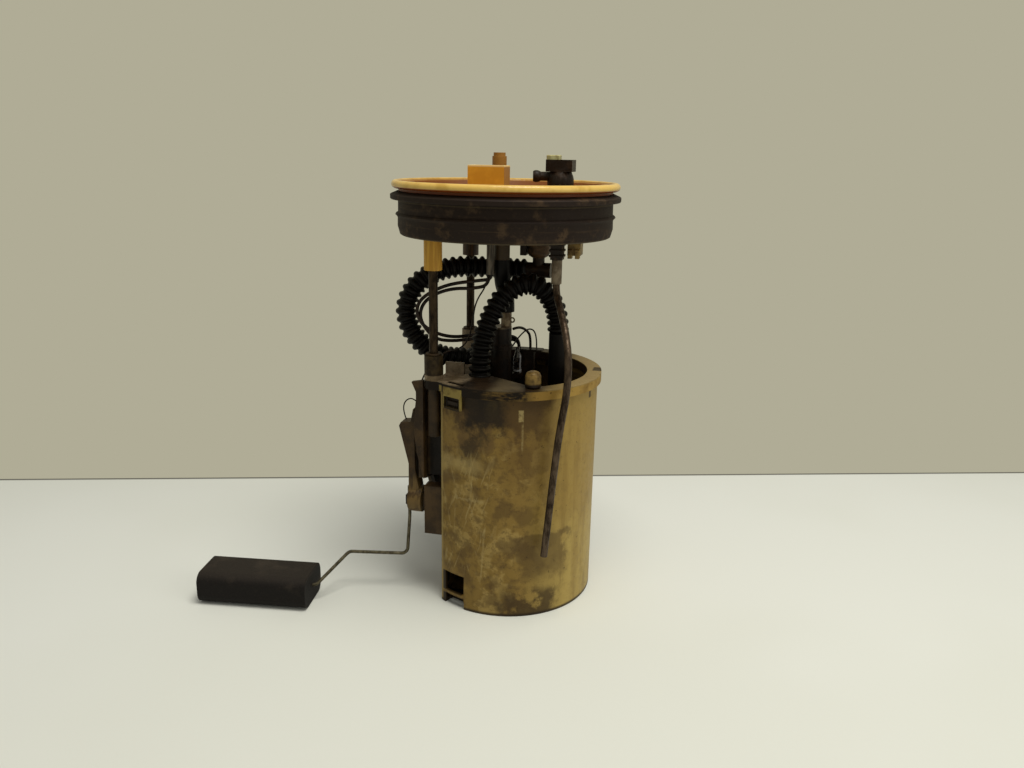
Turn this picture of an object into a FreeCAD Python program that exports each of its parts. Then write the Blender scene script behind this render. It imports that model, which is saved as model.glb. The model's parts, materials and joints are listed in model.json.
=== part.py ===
import FreeCAD, Part
import Sketcher
import math
import operator
import os
from types import SimpleNamespace

# In-tank fuel pump module, millimetres.
# Origin on the canister's axis at its floor, +Z up, the canister's flat side faces -X.

os.makedirs("parts", exist_ok=True)
doc = FreeCAD.newDocument("in_tank_fuel_pump")
sheet = doc.addObject("Spreadsheet::Sheet", "sizes")

SIZES = [
    # canister
    ("can_radius", 51.3, "outer radius of the canister"),
    ("can_wall", 2.0, "canister wall"),
    ("can_height", 131.0, "height of the canister"),
    ("can_floor", 2.5, "thickness of its floor"),
    ("flat_offset", 31.0, "flat side, from the canister's axis"),
    ("window_width", 14.0, "filling window at the foot"),
    ("window_low", 8.7, "top of the window's sill"),
    ("window_rise", 12.2, "height of the window"),
    ("window_sill", 2.1, "height of the sill, with an open slot under it"),
    ("window_turn", 65.0, "window and clips, turned from the flat side"),
    ("fit_gap", 0.3, "clearance between loosely fitted mouldings"),
    ("run_gap", 0.05, "radial clearance of a running fit"),
    # lid
    ("lid_overhang", 2.1, "lid rim beyond the canister wall"),
    ("lid_height", 5.5, "height of the lid rim"),
    ("lid_ring", 8.4, "width of the lid ring around the mouth"),
    ("shelf_reach", 23.5, "edge of the lid's front shelf, from the axis"),
    ("shelf_turn", 59.5, "direction of that shelf, turned from the flat side"),
    ("deck_edge", 22.0, "edge of the lid's deck along the flat side"),
    ("lid_skirt", 4.0, "depth of the lid's locating skirt"),
    ("clip_width", 13.0, "width of a lid clip"),
    ("clip_drop", 8.6, "how far a clip hangs below the rim"),
    ("clip_wall", 1.6, "thickness of a clip"),
    ("rib_rise", 6.6, "cross rib on the lid's deck"),
    ("rib_wall", 2.0, "its thickness"),
    ("rib_setback", 25.0, "cross rib, from the middle of the flat side"),
    ("ear_radius", 5.3, "lid ear around a guide"),
    ("ear_rise", 19.0, "top of a lid ear above the canister's edge"),
    ("plug_x", 21.5, "lid plug"),
    ("plug_y", 41.0, "lid plug, towards the front"),
    ("plug_radius", 4.4, "head of the lid plug"),
    ("plug_rise", 9.3, "height of its head"),
    ("plug_stem", 2.4, "radius of its stem"),
    # rods and guides
    ("rod_offset", 36.0, "guide rods, from the canister's axis"),
    ("rod_spacing", 75.0, "between the two guide rods"),
    ("rod_radius", 2.5, "radius of a guide rod"),
    ("rod_inset", 23.0, "lower end of a rod, below the canister's edge"),
    ("guide_inset", 28.5, "lower end of a guide bush, below the canister's edge"),
    ("guide_wall", 1.0, "wall of a guide bush"),
    ("guide_collar", 1.2, "collar of a guide bush"),
    # flange
    ("flange_face", 238.0, "seal face of the flange"),
    ("flange_shift", 5.0, "flange centre, towards the flat side"),
    ("flange_plate_height", 2.5, "thickness of the flange plate"),
    ("neck_step", 6.1, "neck under the rim bead, beyond the skirt"),
    ("bead_radius", 2.2, "half the thickness of the rim bead"),
    ("bead_step", 10.1, "outside of the rim bead, beyond the skirt"),
    ("bead_lift", 3.6, "centre of the bead above the seal face"),
    ("skirt_room", 16.4, "skirt that carries the seal, beyond the rods"),
    ("skirt_wall", 1.9, "wall of the skirt"),
    ("skirt_drop", 22.0, "depth of the skirt"),
    ("seal_drop", 23.8, "height of the seal"),
    ("seal_foot", 5.7, "seal's foot, beyond the skirt"),
    ("seal_waist", 6.5, "seal's waist, beyond the skirt"),
    ("seal_barb", 8.1, "seal's small barb, beyond the skirt"),
    ("seal_lip", 10.85, "seal's lip, beyond the skirt"),
    ("seal_lip_height", 4.4, "height of the seal's lip"),
    ("socket_radius", 4.95, "sleeve that holds a rod"),
    ("socket_low", 197.2, "lower end of that sleeve"),
    ("socket_seat", 8.0, "rod end below the seal face"),
    ("shroud_left", 25.8, "connector shroud, left side"),
    ("shroud_length", 21.1, "its length"),
    ("shroud_front", 6.0, "its front side"),
    ("shroud_depth", 14.0, "its depth"),
    ("shroud_top", 14.2, "its height above the seal face"),
    ("shroud_wall", 1.6, "its wall"),
    ("blade_width", 2.4, "width of a terminal blade"),
    ("blade_wall", 0.8, "thickness of a terminal blade"),
    ("blade_pitch", 4.2, "between two terminal blades"),
    ("blade_top", 10.0, "top of the blades above the seal face"),
    ("blade_tail", 7.0, "tail of the blades below the seal face"),
    ("vent_x", 13.5, "vent nipple"),
    ("vent_y", 18.5, "vent nipple"),
    ("vent_radius", 4.2, "radius of the vent nipple"),
    ("vent_tip", 3.5, "radius of its rim"),
    ("vent_bore", 2.0, "its bore"),
    ("vent_rise", 21.2, "its height above the seal face"),
    ("stub_x", 6.4, "return stub under the flange"),
    ("stub_y", 1.4, "return stub under the flange"),
    ("stub_radius", 4.5, "radius of the return stub"),
    ("stub_low", 200.0, "its lower end"),
    ("outlet_x", 25.0, "outlet spigot on the flange"),
    ("outlet_y", 5.5, "outlet spigot on the flange"),
    ("outlet_radius", 3.9, "radius of the outlet spigot"),
    ("outlet_rise", 8.0, "height of the outlet spigot"),
    ("ring_radius", 0.7, "section of a small sealing ring"),
    # quick connector
    ("elbow_radius", 7.3, "round body of the quick connector"),
    ("elbow_top", 11.5, "top of the round body above the seal face"),
    ("head_length", 14.7, "head of the quick connector"),
    ("head_depth", 14.0, "its depth"),
    ("head_rise", 6.4, "its height"),
    ("barb_reach", 15.4, "end of the hose barb, from the swivel axis"),
    ("barb_radius", 2.5, "radius of the barb"),
    ("barb_lift", 8.8, "height of the barb above the seal face"),
    ("button_size", 7.4, "release button"),
    ("button_shift", 4.0, "button, from the swivel axis"),
    ("button_rise", 2.45, "button above the head"),
    ("button_depth", 3.0, "button inside the head"),
    ("button_travel", 1.5, "travel of the button"),
    # valves under the flange
    ("drum_x", 12.3, "relief valve"),
    ("drum_y", 13.0, "relief valve"),
    ("drum_radius", 6.6, "its radius"),
    ("drum_lift", 7.0, "its lower end above the feed elbow"),
    ("drum_dome", 3.0, "height of its rounded end"),
    ("block_left", 1.9, "valve block, left side"),
    ("block_depth", 9.0, "its depth"),
    ("block_low", 201.6, "its lower end"),
    ("cuff_radius", 4.4, "feed elbow"),
    ("cuff_drop", 45.0, "feed elbow, below the seal face"),
    ("cuff_left", 5.5, "its left end"),
    ("cuff_right", 19.8, "its right end"),
    ("lug_left", 31.6, "lugged fitting"),
    ("lug_length", 7.4, "its length"),
    ("lug_front", 3.0, "its front side"),
    ("lug_depth", 10.0, "its depth"),
    ("lug_low", 204.0, "its lower end"),
    # pick-up tube
    ("pickup_x", 27.9, "top of the pick-up tube"),
    ("pickup_y", 14.2, "top of the pick-up tube, towards the front"),
    ("pickup_radius", 2.0, "radius of the pick-up tube"),
    ("pickup_wall", 0.6, "its wall"),
    ("pickup_top", 213.0, "its upper end"),
    ("boss_size", 6.8, "boss that holds the pick-up tube"),
    ("boss_low", 203.0, "lower end of that boss"),
    ("sleeve_wall", 0.9, "sleeve on the pick-up tube"),
    ("pickup_bend", 184.5, "height of its first bend"),
    ("sleeve_low", 189.5, "lower end of the sleeve"),
    # hoses
    ("hose_radius", 6.3, "corrugated hose, over the ridges"),
    ("hose_bore", 3.9, "its bore"),
    ("drain_radius", 4.8, "smooth return hose"),
    ("drain_bore", 3.2, "its bore"),
    ("sleeve_hose_radius", 5.2, "smooth cuff on the arched hose"),
    ("sleeve_hose_top", 163.0, "top of that cuff"),
    ("power_wire", 1.0, "radius of a power wire"),
    ("signal_wire", 0.45, "radius of a signal wire"),
    ("loom_radius", 2.2, "bundle of leads under the flange"),
    ("loom_drop", 46.0, "its lower end below the seal face"),
    # pump
    ("pump_x", 7.6, "pump axis, towards the flat side"),
    ("pump_y", 4.0, "pump axis, towards the back"),
    ("pump_radius", 19.0, "radius of the pump's steel case"),
    ("pump_case_wall", 1.2, "wall of the case"),
    ("pump_low", 26.0, "lower end of the case"),
    ("pump_height", 68.0, "height of the case"),
    ("shaft_radius", 2.0, "motor shaft"),
    ("armature_radius", 13.5, "armature"),
    ("armature_low", 42.0, "lower end of the armature"),
    ("armature_height", 36.0, "its height"),
    ("commutator_radius", 6.0, "commutator"),
    ("commutator_height", 6.0, "its height"),
    ("magnet_wall", 3.0, "thickness of a magnet"),
    ("magnet_height", 38.0, "height of a magnet"),
    ("impeller_radius", 14.5, "impeller"),
    ("impeller_height", 3.2, "its height"),
    ("impeller_low", 21.0, "its lower face"),
    ("inlet_cover_low", 17.0, "lower face of the pump's inlet cover"),
    ("bush_radius", 4.0, "outer radius of a shaft bush"),
    ("bush_height", 4.0, "its height"),
    ("neck_radius", 11.7, "neck of the pump's top cover"),
    ("neck_top", 101.0, "top of that neck"),
    ("feed_x", 19.0, "feed nipple of the pump"),
    ("feed_y", 13.0, "feed nipple of the pump"),
    ("feed_top", 122.0, "top of the feed nipple"),
    ("tower_radius", 6.3, "regulator tower"),
    ("tower_top", 160.0, "its top"),
    ("tower_shift", 3.1, "return spigot, from the tower's axis"),
    ("spigot_radius", 3.15, "return spigot"),
    ("spigot_top", 174.0, "its top"),
    ("valve_bore", 3.6, "chamber of the check valve"),
    ("valve_low", 120.0, "its lower end"),
    ("valve_height", 22.0, "its height"),
    ("poppet_height", 6.0, "check valve poppet"),
    # inner cover and its fittings
    ("cover_low", 96.0, "inner cover of the canister"),
    ("cover_height", 3.0, "its thickness"),
    ("jet_x", 13.0, "arched hose, end at the jet pump"),
    ("jet_y", 23.4, "arched hose, end at the jet pump, towards the front"),
    ("return_x", 27.8, "arched hose, other end"),
    ("spigot_rise", 16.0, "hose spigots above the inner cover"),
    ("plug_block_left", 2.0, "pump connector"),
    ("plug_block_length", 11.6, "its length"),
    ("plug_block_front", 18.0, "its front side"),
    ("plug_block_depth", 6.0, "its depth"),
    ("plug_block_low", 118.0, "its lower end"),
    ("plug_block_top", 143.4, "its top"),
    ("nozzle_x", 1.0, "clear nozzle"),
    ("nozzle_y", 12.0, "clear nozzle"),
    ("nozzle_radius", 2.7, "clear nozzle"),
    ("nozzle_low", 130.0, "its lower end"),
    ("nozzle_height", 16.0, "its height"),
    # sender
    ("carrier_wall", 2.2, "sender carrier on the flat side"),
    ("carrier_inset", 3.0, "its upper end below the canister's edge"),
    ("carrier_height", 86.0, "its height"),
    ("bracket_reach", 10.5, "lower brackets, from the flat side"),
    ("bracket_rise", 30.0, "their height"),
    ("bracket_width", 7.5, "their width"),
    ("housing_back", 41.8, "back of the sender housing, from the axis"),
    ("housing_wall", 4.2, "its thickness"),
    ("card_wall", 0.6, "ceramic card"),
    ("pivot_inset", 5.0, "float arm's pivot, inside the front rod"),
    ("pivot_drop", 70.5, "the pivot, below the canister's edge"),
    ("pin_radius", 1.5, "pivot pin"),
    ("hub_radius", 8.0, "hub of the wiper holder"),
    ("hub_left", 52.4, "left face of the hub"),
    ("hub_right", 44.2, "right face of the hub"),
    ("lever_width", 9.0, "lever of the wiper holder"),
    ("lever_back", 48.2, "face of the lever towards the card"),
    ("contact_radius", 39.0, "contact fingers, from the pivot"),
    ("arm_radius", 1.0, "float arm wire"),
    ("float_length", 65.0, "float"),
    ("float_width", 29.0, "its width"),
    ("float_height", 18.8, "its height"),
    ("float_edge", 6.0, "its rounded edges"),
    ("float_turn", 7.2, "float, turned from X"),
    ("float_middle", 10.0, "height of the wire in the float"),
    ("arm_end_x", 102.7, "where the wire enters the float"),
    ("arm_end_y", 60.6, "where the wire enters the float"),
    # foot of the canister
    ("foot_hole", 6.0, "floor hole for the foot valve"),
    ("foot_radius", 9.0, "foot valve disc"),
    ("foot_x", 22.0, "foot valve"),
    ("foot_y", 22.0, "foot valve, towards the front"),
    ("strainer_length", 46.0, "inlet strainer"),
    ("strainer_width", 30.0, "its width"),
    ("strainer_height", 8.0, "its height"),
]


class Size:
    """A number with the sheet expression that it was worked out from."""

    def __init__(self, value, text):
        self.value = value
        self.text = text

    def join(self, other, sign, work, turned=False):
        if not isinstance(other, Size):
            other = Size(float(other), f"({float(other)!r})")
        left, right = (other, self) if turned else (self, other)
        return Size(work(left.value, right.value), f"({left.text} {sign} {right.text})")

    def __add__(self, other):
        return self.join(other, "+", operator.add)

    def __radd__(self, other):
        return self.join(other, "+", operator.add, True)

    def __sub__(self, other):
        return self.join(other, "-", operator.sub)

    def __rsub__(self, other):
        return self.join(other, "-", operator.sub, True)

    def __mul__(self, other):
        return self.join(other, "*", operator.mul)

    def __rmul__(self, other):
        return self.join(other, "*", operator.mul, True)

    def __truediv__(self, other):
        return self.join(other, "/", operator.truediv)

    def __neg__(self):
        return self.join(-1, "*", operator.mul)


for line, (alias, number, meaning) in enumerate(SIZES, 1):
    sheet.set(f"A{line}", meaning)
    sheet.set(f"B{line}", str(number))
    sheet.setAlias(f"B{line}", alias)
doc.recompute()
d = SimpleNamespace(**{alias: Size(float(getattr(sheet, alias)), f"sizes.{alias}") for alias, _, _ in SIZES})

VERTICAL = FreeCAD.Rotation()
ALONG_X = FreeCAD.Rotation(FreeCAD.Vector(0, 1, 0), 90)
TOWARDS_FLAT = FreeCAD.Rotation(FreeCAD.Vector(0, 1, 0), -90)
pieces = []


def value(size):
    """The plain number behind a size."""
    return size.value if isinstance(size, Size) else float(size)


def vector(x, y, z):
    return FreeCAD.Vector(value(x), value(y), value(z))


def bind(thing, prop, size):
    """Sets a property to a number, or ties it to the sheet."""
    if isinstance(size, Size):
        thing.setExpression(prop, size.text)
    else:
        setattr(thing, prop, size)


def place(thing, at, turn=VERTICAL):
    """Puts a thing at a point whose coordinates may be sizes."""
    thing.Placement = FreeCAD.Placement(vector(*at), turn)
    for letter, size in zip("xyz", at):
        if isinstance(size, Size):
            thing.setExpression(f"Placement.Base.{letter}", size.text)
    return thing


def solid(kind, at, turn=VERTICAL, **sizes):
    """One primitive of the Part workbench."""
    thing = doc.addObject(f"Part::{kind}", kind.lower())
    for prop, size in sizes.items():
        bind(thing, prop, size)
    return place(thing, at, turn)


def rod(radius, height, at, turn=VERTICAL):
    return solid("Cylinder", at, turn, Radius=radius, Height=height)


def block(length, width, height, at, turn=VERTICAL):
    return solid("Box", at, turn, Length=length, Width=width, Height=height)


def fuse(*things):
    joined = doc.addObject("Part::MultiFuse", "joined")
    joined.Shapes = list(things)
    return joined


def cut(base, *tools):
    result = doc.addObject("Part::Cut", "cut")
    result.Base = base
    result.Tool = tools[0] if len(tools) == 1 else fuse(*tools)
    return result


def common(base, tool):
    result = doc.addObject("Part::Common", "common")
    result.Base = base
    result.Tool = tool
    return result


def piece(label, thing):
    """Names a finished sub-part, which is written to its own file."""
    thing.Label = label
    pieces.append(thing)
    return thing


def origin_plane(body, role):
    return next(plane for plane in body.Origin.OriginFeatures if plane.Role == role)


def outline(body, role, points):
    """A closed sketch whose corners are held by the sheet's sizes."""
    sketch = body.newObject("Sketcher::SketchObject", "outline")
    sketch.AttachmentSupport = (origin_plane(body, role), "")
    sketch.MapMode = "FlatFace"
    corners = [FreeCAD.Vector(value(x), value(y), 0) for x, y in points]
    for start, end in zip(corners, corners[1:] + corners[:1]):
        sketch.addGeometry(Part.LineSegment(start, end), False)
    count = len(points)
    for index in range(count):
        sketch.addConstraint(Sketcher.Constraint("Coincident", index, 2, (index + 1) % count, 1))
    for index, corner in enumerate(points):
        for kind, axis, size in zip(("DistanceX", "DistanceY"), (-2, -1), corner):
            if value(size) == 0:
                sketch.addConstraint(Sketcher.Constraint("PointOnObject", index, 1, axis))
                continue
            held = sketch.addConstraint(Sketcher.Constraint(kind, -1, 1, index, 1, value(size)))
            if isinstance(size, Size):
                sketch.setExpression(f"Constraints[{held}]", size.text)
    return sketch


def turned(points, at):
    """A body turned about the vertical line through a point; its outline is (radius, height)."""
    body = doc.addObject("PartDesign::Body", "turned")
    sketch = outline(body, "XZ_Plane", points)
    spun = body.newObject("PartDesign::Revolution", "spun")
    spun.Profile = sketch
    spun.ReferenceAxis = (sketch, ["V_Axis"])
    spun.Angle = 360.0
    body.Tip = spun
    return place(body, at)


def raised(role, points, thickness, at):
    """A body raised from an outline on one of its planes."""
    body = doc.addObject("PartDesign::Body", "raised")
    pad = body.newObject("PartDesign::Pad", "pad")
    pad.Profile = outline(body, role, points)
    bind(pad, "Length", thickness)
    body.Tip = pad
    return place(body, at)


def trimmed_disc(radius, flat, height, low):
    """A disc with one flat side facing -X."""
    beyond = block(radius, radius * 2, height, (-radius - flat, -radius, low))
    return cut(rod(radius, height, (0, 0, low)), beyond)


def bent_line(points):
    """Straight runs joined by tangent arcs, each as large as its two runs allow."""
    corners = [vector(*point) for point in points]
    edges = []
    start = corners[0]
    radii = []
    for before, corner, after in zip(corners, corners[1:], corners[2:]):
        towards = (before - corner).normalize()
        onwards = (after - corner).normalize()
        half_turn = (math.pi - towards.getAngle(onwards)) / 2
        reach = 0.45 * min((before - corner).Length, (after - corner).Length)
        radii.append(round(reach / math.tan(half_turn), 1))
        first = corner + towards * reach
        last = corner + onwards * reach
        bisector = (towards + onwards).normalize()
        radius = reach / math.tan(half_turn)
        middle = corner + bisector * (radius / math.cos(half_turn) - radius)
        edges.append(Part.LineSegment(start, first).toShape())
        edges.append(Part.Arc(first, middle, last).toShape())
        start = last
    edges.append(Part.LineSegment(start, corners[-1]).toShape())
    return Part.Wire(edges), radii


def tube_shape(points, radius):
    """A round solid along a bent line."""
    spine, _ = bent_line(points)
    start = spine.Edges[0].Vertexes[0].Point
    heading = spine.Edges[0].tangentAt(spine.Edges[0].FirstParameter)
    section = Part.Wire([Part.makeCircle(value(radius), start, heading)])
    return spine.makePipeShell([section], True, False)


def tube(points, radius, bore=None):
    """A hose, wire or pipe; its route is chosen by hand and its section comes from the sheet."""
    shape = tube_shape(points, radius)
    if bore is not None:
        shape = shape.cut(tube_shape(points, bore))
    spine, radii = bent_line(points)
    section = math.pi * (value(radius) ** 2 - (value(bore) ** 2 if bore is not None else 0))
    print(f"tube radius {value(radius)}: length {spine.Length:.1f}, volume ratio "
          f"{shape.Volume / (section * spine.Length):.4f}, bend radii {radii}")
    return shape


def shaped(*shapes):
    """A feature that holds ready-made shapes."""
    feature = doc.addObject("Part::Feature", "shaped")
    feature.Shape = shapes[0] if len(shapes) == 1 else Part.makeCompound(list(shapes))
    feature.Placement = FreeCAD.Placement()
    return feature


# Sizes that several pieces share
can_bore = d.can_radius - d.can_wall
flat_bore = d.flat_offset - d.can_wall
lid_radius = d.can_radius + d.lid_overhang
lid_flat = d.flat_offset + d.lid_overhang
lid_top = d.can_height + d.lid_height
mouth_radius = lid_radius - d.lid_ring
guide_radius = d.rod_radius + d.run_gap + d.guide_wall
ear_top = d.can_height + d.ear_rise
plate_low = d.flange_face - 3
plate_top = plate_low + d.flange_plate_height
rod_low = d.can_height - d.rod_inset
guide_low = d.can_height - d.guide_inset
skirt_radius = d.rod_spacing / 2 + d.skirt_room
flange_neck = skirt_radius + d.neck_step
bead_reach = skirt_radius + d.bead_step
cuff_height = d.flange_face - d.cuff_drop
drum_low = cuff_height + d.drum_lift
loom_low = d.flange_face - d.loom_drop
pivot_y = d.rod_spacing / 2 - d.pivot_inset
pivot_height = d.can_height - d.pivot_drop
rod_spots = {"front": -d.rod_spacing / 2, "rear": d.rod_spacing / 2}
cover_top = d.cover_low + d.cover_height
pump_at = (-d.pump_x, d.pump_y)
clip_turns = {"front": -1, "rear": 1}


def radial(thing, turn, sign):
    """Turns a thing made along +X to a direction measured from the flat side, to the front or the rear."""
    holder = doc.addObject("Part::Compound", "turned_round")
    holder.Links = [thing]
    angle = 180 - turn
    holder.Placement = FreeCAD.Placement(
        FreeCAD.Vector(0, 0, 0), FreeCAD.Rotation(FreeCAD.Vector(0, 0, sign), value(angle)))
    holder.setExpression("Placement.Rotation.Angle", angle.text)
    return holder


# Canister: one moulded cup with a flat side, a filling window at its foot and a hole for the foot valve
cup = cut(
    trimmed_disc(d.can_radius, d.flat_offset, d.can_height, 0),
    trimmed_disc(can_bore, flat_bore, d.can_height, d.can_floor),
)
window = radial(
    block(d.can_wall * 4, d.window_width, d.window_rise,
          (d.can_radius - d.can_wall * 2, -d.window_width / 2, d.window_low)),
    d.window_turn, -1)
foot_slot = radial(
    block(d.can_wall * 4, d.window_width, d.window_low - d.window_sill + 1,
          (d.can_radius - d.can_wall * 3.4, -d.window_width / 2, -1)),
    d.window_turn, -1)
foot_hole = rod(d.foot_hole, d.can_floor * 2, (d.foot_x, -d.foot_y, -d.can_floor / 2))
catches = []
for sign in clip_turns.values():
    catches.append(radial(
        block(1.4, d.clip_width - 5, 2.5, (d.can_radius - 0.3, 2.5 - d.clip_width / 2, d.can_height - d.clip_drop + 2)),
        d.window_turn, sign))
piece("canister", fuse(cut(cup, window, foot_slot, foot_hole), *catches))

# Lid: a ring with a front shelf and a deck along the flat side, ears for the guides, two clips with a slot
# behind each, and a channel in the deck for the feed hose
lid_disc = trimmed_disc(lid_radius, lid_flat, d.lid_height, d.can_height)
lid_skirt = cut(
    trimmed_disc(can_bore - 0.1, flat_bore - 0.1, d.lid_skirt, d.can_height - d.lid_skirt),
    trimmed_disc(can_bore - 1.6, flat_bore - 1.6, d.lid_skirt, d.can_height - d.lid_skirt),
)
mouth = common(
    rod(mouth_radius, lid_radius, (0, 0, d.can_height - lid_radius / 2)),
    block(lid_radius * 2, lid_radius * 2, lid_radius, (-d.deck_edge, -lid_radius, d.can_height - lid_radius / 2)),
)
shelf = radial(
    block(lid_radius, lid_radius * 2, d.lid_height, (d.shelf_reach, -lid_radius, d.can_height)),
    d.shelf_turn, -1)
mouth_cut = cut(mouth, shelf)
ears = []
for y in rod_spots.values():
    ears.append(rod(d.ear_radius, ear_top - d.can_height, (-d.rod_offset, y, d.can_height)))
    ears.append(block(d.rod_offset - d.flat_offset + 2, d.ear_radius * 2, d.lid_height,
                      (-d.rod_offset, y - d.ear_radius, d.can_height)))
clips = []
clip_slots = []
for sign in clip_turns.values():
    strap = block(d.clip_wall, d.clip_width, d.clip_drop + d.lid_height,
                  (d.can_radius + 0.5, -d.clip_width / 2, d.can_height - d.clip_drop))
    eye = block(d.clip_wall * 3, d.clip_width - 2.6, d.clip_drop - 2.6,
                (d.can_radius - d.clip_wall, 1.3 - d.clip_width / 2, d.can_height - d.clip_drop + 0.9))
    clips.append(radial(cut(strap, eye), d.window_turn, sign))
    clip_slots.append(radial(
        block(3.2, d.clip_width - 1, d.lid_height, (d.can_radius - 3.3, 0.5 - d.clip_width / 2, d.can_height + 1)),
        d.window_turn, sign))
cross_rib = block(lid_flat - d.deck_edge, d.rib_wall, d.rib_rise, (-lid_flat, -d.rib_setback, lid_top))
plug_boss = rod(d.plug_radius + 1.8, d.lid_height, (d.plug_x, -d.plug_y, d.can_height))
lid_solid = fuse(cut(lid_disc, mouth_cut), lid_skirt, cross_rib, plug_boss, *ears, *clips)
lid_holes = [
    rod(d.hose_radius + d.fit_gap, d.lid_height * 3, (-d.jet_x, -d.jet_y, d.can_height - d.lid_height)),
    rod(d.plug_stem + 0.05, d.lid_height * 3, (d.plug_x, -d.plug_y, d.can_height - d.lid_height)),
    rod(d.hose_radius + 1.4, d.lid_height * 3, (-d.feed_x - 1.4, d.feed_y - 1.3, d.can_height - d.lid_height)),
    rod(d.hose_radius + 1.4, d.lid_height * 3, (-d.feed_x - 5.5, d.feed_y - 4.4, d.can_height - d.lid_height)),
]
for y in rod_spots.values():
    lid_holes.append(rod(guide_radius, ear_top, (-d.rod_offset, y, guide_low)))
channel = doc.addObject("Part::Compound", "channel")
channel.Links = [block(26, 15, d.lid_height * 2, (0, 0, 0))]
place(channel, (-35.5, -8.5, d.can_height + 0.6), FreeCAD.Rotation(FreeCAD.Vector(0, 0, 1), 36.5))
piece("canister_lid", cut(lid_solid, *lid_holes, *clip_slots, channel))

# Plug: a domed pin pushed into the lid's front
plug_head = turned(
    [(0, 0), (d.plug_radius - 0.5, 0), (d.plug_radius, 0.8), (d.plug_radius, d.plug_rise * 0.7),
     (d.plug_radius * 0.8, d.plug_rise * 0.92), (d.plug_radius * 0.4, d.plug_rise), (0, d.plug_rise)],
    (d.plug_x, -d.plug_y, lid_top))
plug_stem = rod(d.plug_stem, d.lid_height + 1, (d.plug_x, -d.plug_y, d.can_height - 1))
piece("lid_plug", fuse(plug_head, plug_stem))

# Guide bushes pressed into the lid's ears, and the rods that run in them
for name, y in rod_spots.items():
    bush = fuse(
        rod(guide_radius, ear_top - guide_low, (-d.rod_offset, y, guide_low)),
        rod(guide_radius + 0.9, d.guide_collar, (-d.rod_offset, y, ear_top)),
    )
    bore = rod(d.rod_radius + d.run_gap, ear_top - guide_low + d.guide_collar * 2,
               (-d.rod_offset, y, guide_low - d.guide_collar / 2))
    piece(f"rod_guide_{name}", cut(bush, bore))
    piece(f"guide_rod_{name}", rod(
        d.rod_radius, d.flange_face - d.socket_seat - rod_low, (-d.rod_offset, y, rod_low)))

# Flange: a moulded plate with a rim bead, a skirt for the seal, rod sleeves and all its fittings
tray = turned(
    [(0, plate_low), (skirt_radius - d.skirt_wall, plate_low),
     (skirt_radius - d.skirt_wall, d.flange_face - d.skirt_drop),
     (skirt_radius, d.flange_face - d.skirt_drop), (skirt_radius, d.flange_face),
     (flange_neck, d.flange_face), (flange_neck, d.flange_face + 1.8),
     (bead_reach - d.bead_radius - 0.4, d.flange_face + 1.8),
     (bead_reach - d.bead_radius - 0.4, d.flange_face + 5), (flange_neck - 1.2, d.flange_face + 4.2),
     (flange_neck - 2.6, d.flange_face + 1.6), (skirt_radius - d.skirt_wall, d.flange_face + 1.4),
     (skirt_radius - d.skirt_wall - 1, plate_top), (0, plate_top)],
    (-d.flange_shift, 0, 0))
bead = solid("Torus", (-d.flange_shift, 0, d.flange_face + d.bead_lift),
             Radius1=bead_reach - d.bead_radius, Radius2=d.bead_radius)
shroud = block(d.shroud_length, d.shroud_depth, d.flange_face + d.shroud_top - plate_top,
               (-d.shroud_left, -d.shroud_front, plate_top))
vent = fuse(
    rod(d.vent_radius, d.vent_rise - 1.5, (-d.vent_x, d.vent_y, plate_top)),
    rod(d.vent_tip, d.flange_face + d.vent_rise - plate_top, (-d.vent_x, d.vent_y, plate_top)),
)
outlet = rod(d.outlet_radius, d.flange_face + d.outlet_rise - plate_top, (d.outlet_x, d.outlet_y, plate_top))
stub = fuse(
    rod(d.stub_radius, plate_low - d.stub_low, (-d.stub_x, -d.stub_y, d.stub_low)),
    rod(d.drain_bore, plate_low - d.stub_low + 7, (-d.stub_x, -d.stub_y, d.stub_low - 7)),
)
sleeves = [rod(d.socket_radius, plate_low - d.socket_low, (-d.rod_offset, y, d.socket_low)) for y in rod_spots.values()]
flange_holes = [
    block(d.shroud_length - d.shroud_wall * 2, d.shroud_depth - d.shroud_wall * 2, d.shroud_top,
          (d.shroud_wall - d.shroud_left, d.shroud_wall - d.shroud_front, d.flange_face + 2)),
    rod(d.vent_bore, d.vent_rise + 8, (-d.vent_x, d.vent_y, plate_low - 1)),
    rod(d.vent_bore, d.outlet_rise + 8, (d.outlet_x, d.outlet_y, plate_low - 1)),
    rod(d.vent_bore, plate_low - d.stub_low + 8, (-d.stub_x, -d.stub_y, d.stub_low - 8)),
]
ring_heights = [d.flange_face + 3, d.flange_face + 6]
groove = d.ring_radius * 2 + 0.2
for height in ring_heights:
    flange_holes.append(cut(
        rod(d.outlet_radius + 1, groove, (d.outlet_x, d.outlet_y, height - groove / 2)),
        rod(d.outlet_radius - d.ring_radius * 2, groove + 2, (d.outlet_x, d.outlet_y, height - groove))))
for y in rod_spots.values():
    flange_holes.append(rod(d.rod_radius, d.flange_face - d.socket_seat - d.socket_low + 1,
                            (-d.rod_offset, y, d.socket_low - 1)))


def blades():
    """Four terminal blades in a row inside the shroud."""
    first = d.shroud_left - d.shroud_length / 2 + d.blade_pitch * 1.5
    row = []
    for index in range(4):
        row.append(block(d.blade_width, d.blade_wall, d.blade_top + d.blade_tail,
                         (index * d.blade_pitch - first - d.blade_width / 2,
                          d.shroud_depth / 2 - d.shroud_front - d.blade_wall / 2,
                          d.flange_face - d.blade_tail)))
    return row


flange_solid = fuse(tray, bead, shroud, vent, outlet, stub, *sleeves)
piece("flange_plate", cut(flange_solid, *flange_holes, *blades()))
terminals = doc.addObject("Part::Compound", "terminals")
terminals.Links = blades()
piece("terminal_blades", terminals)

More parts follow.
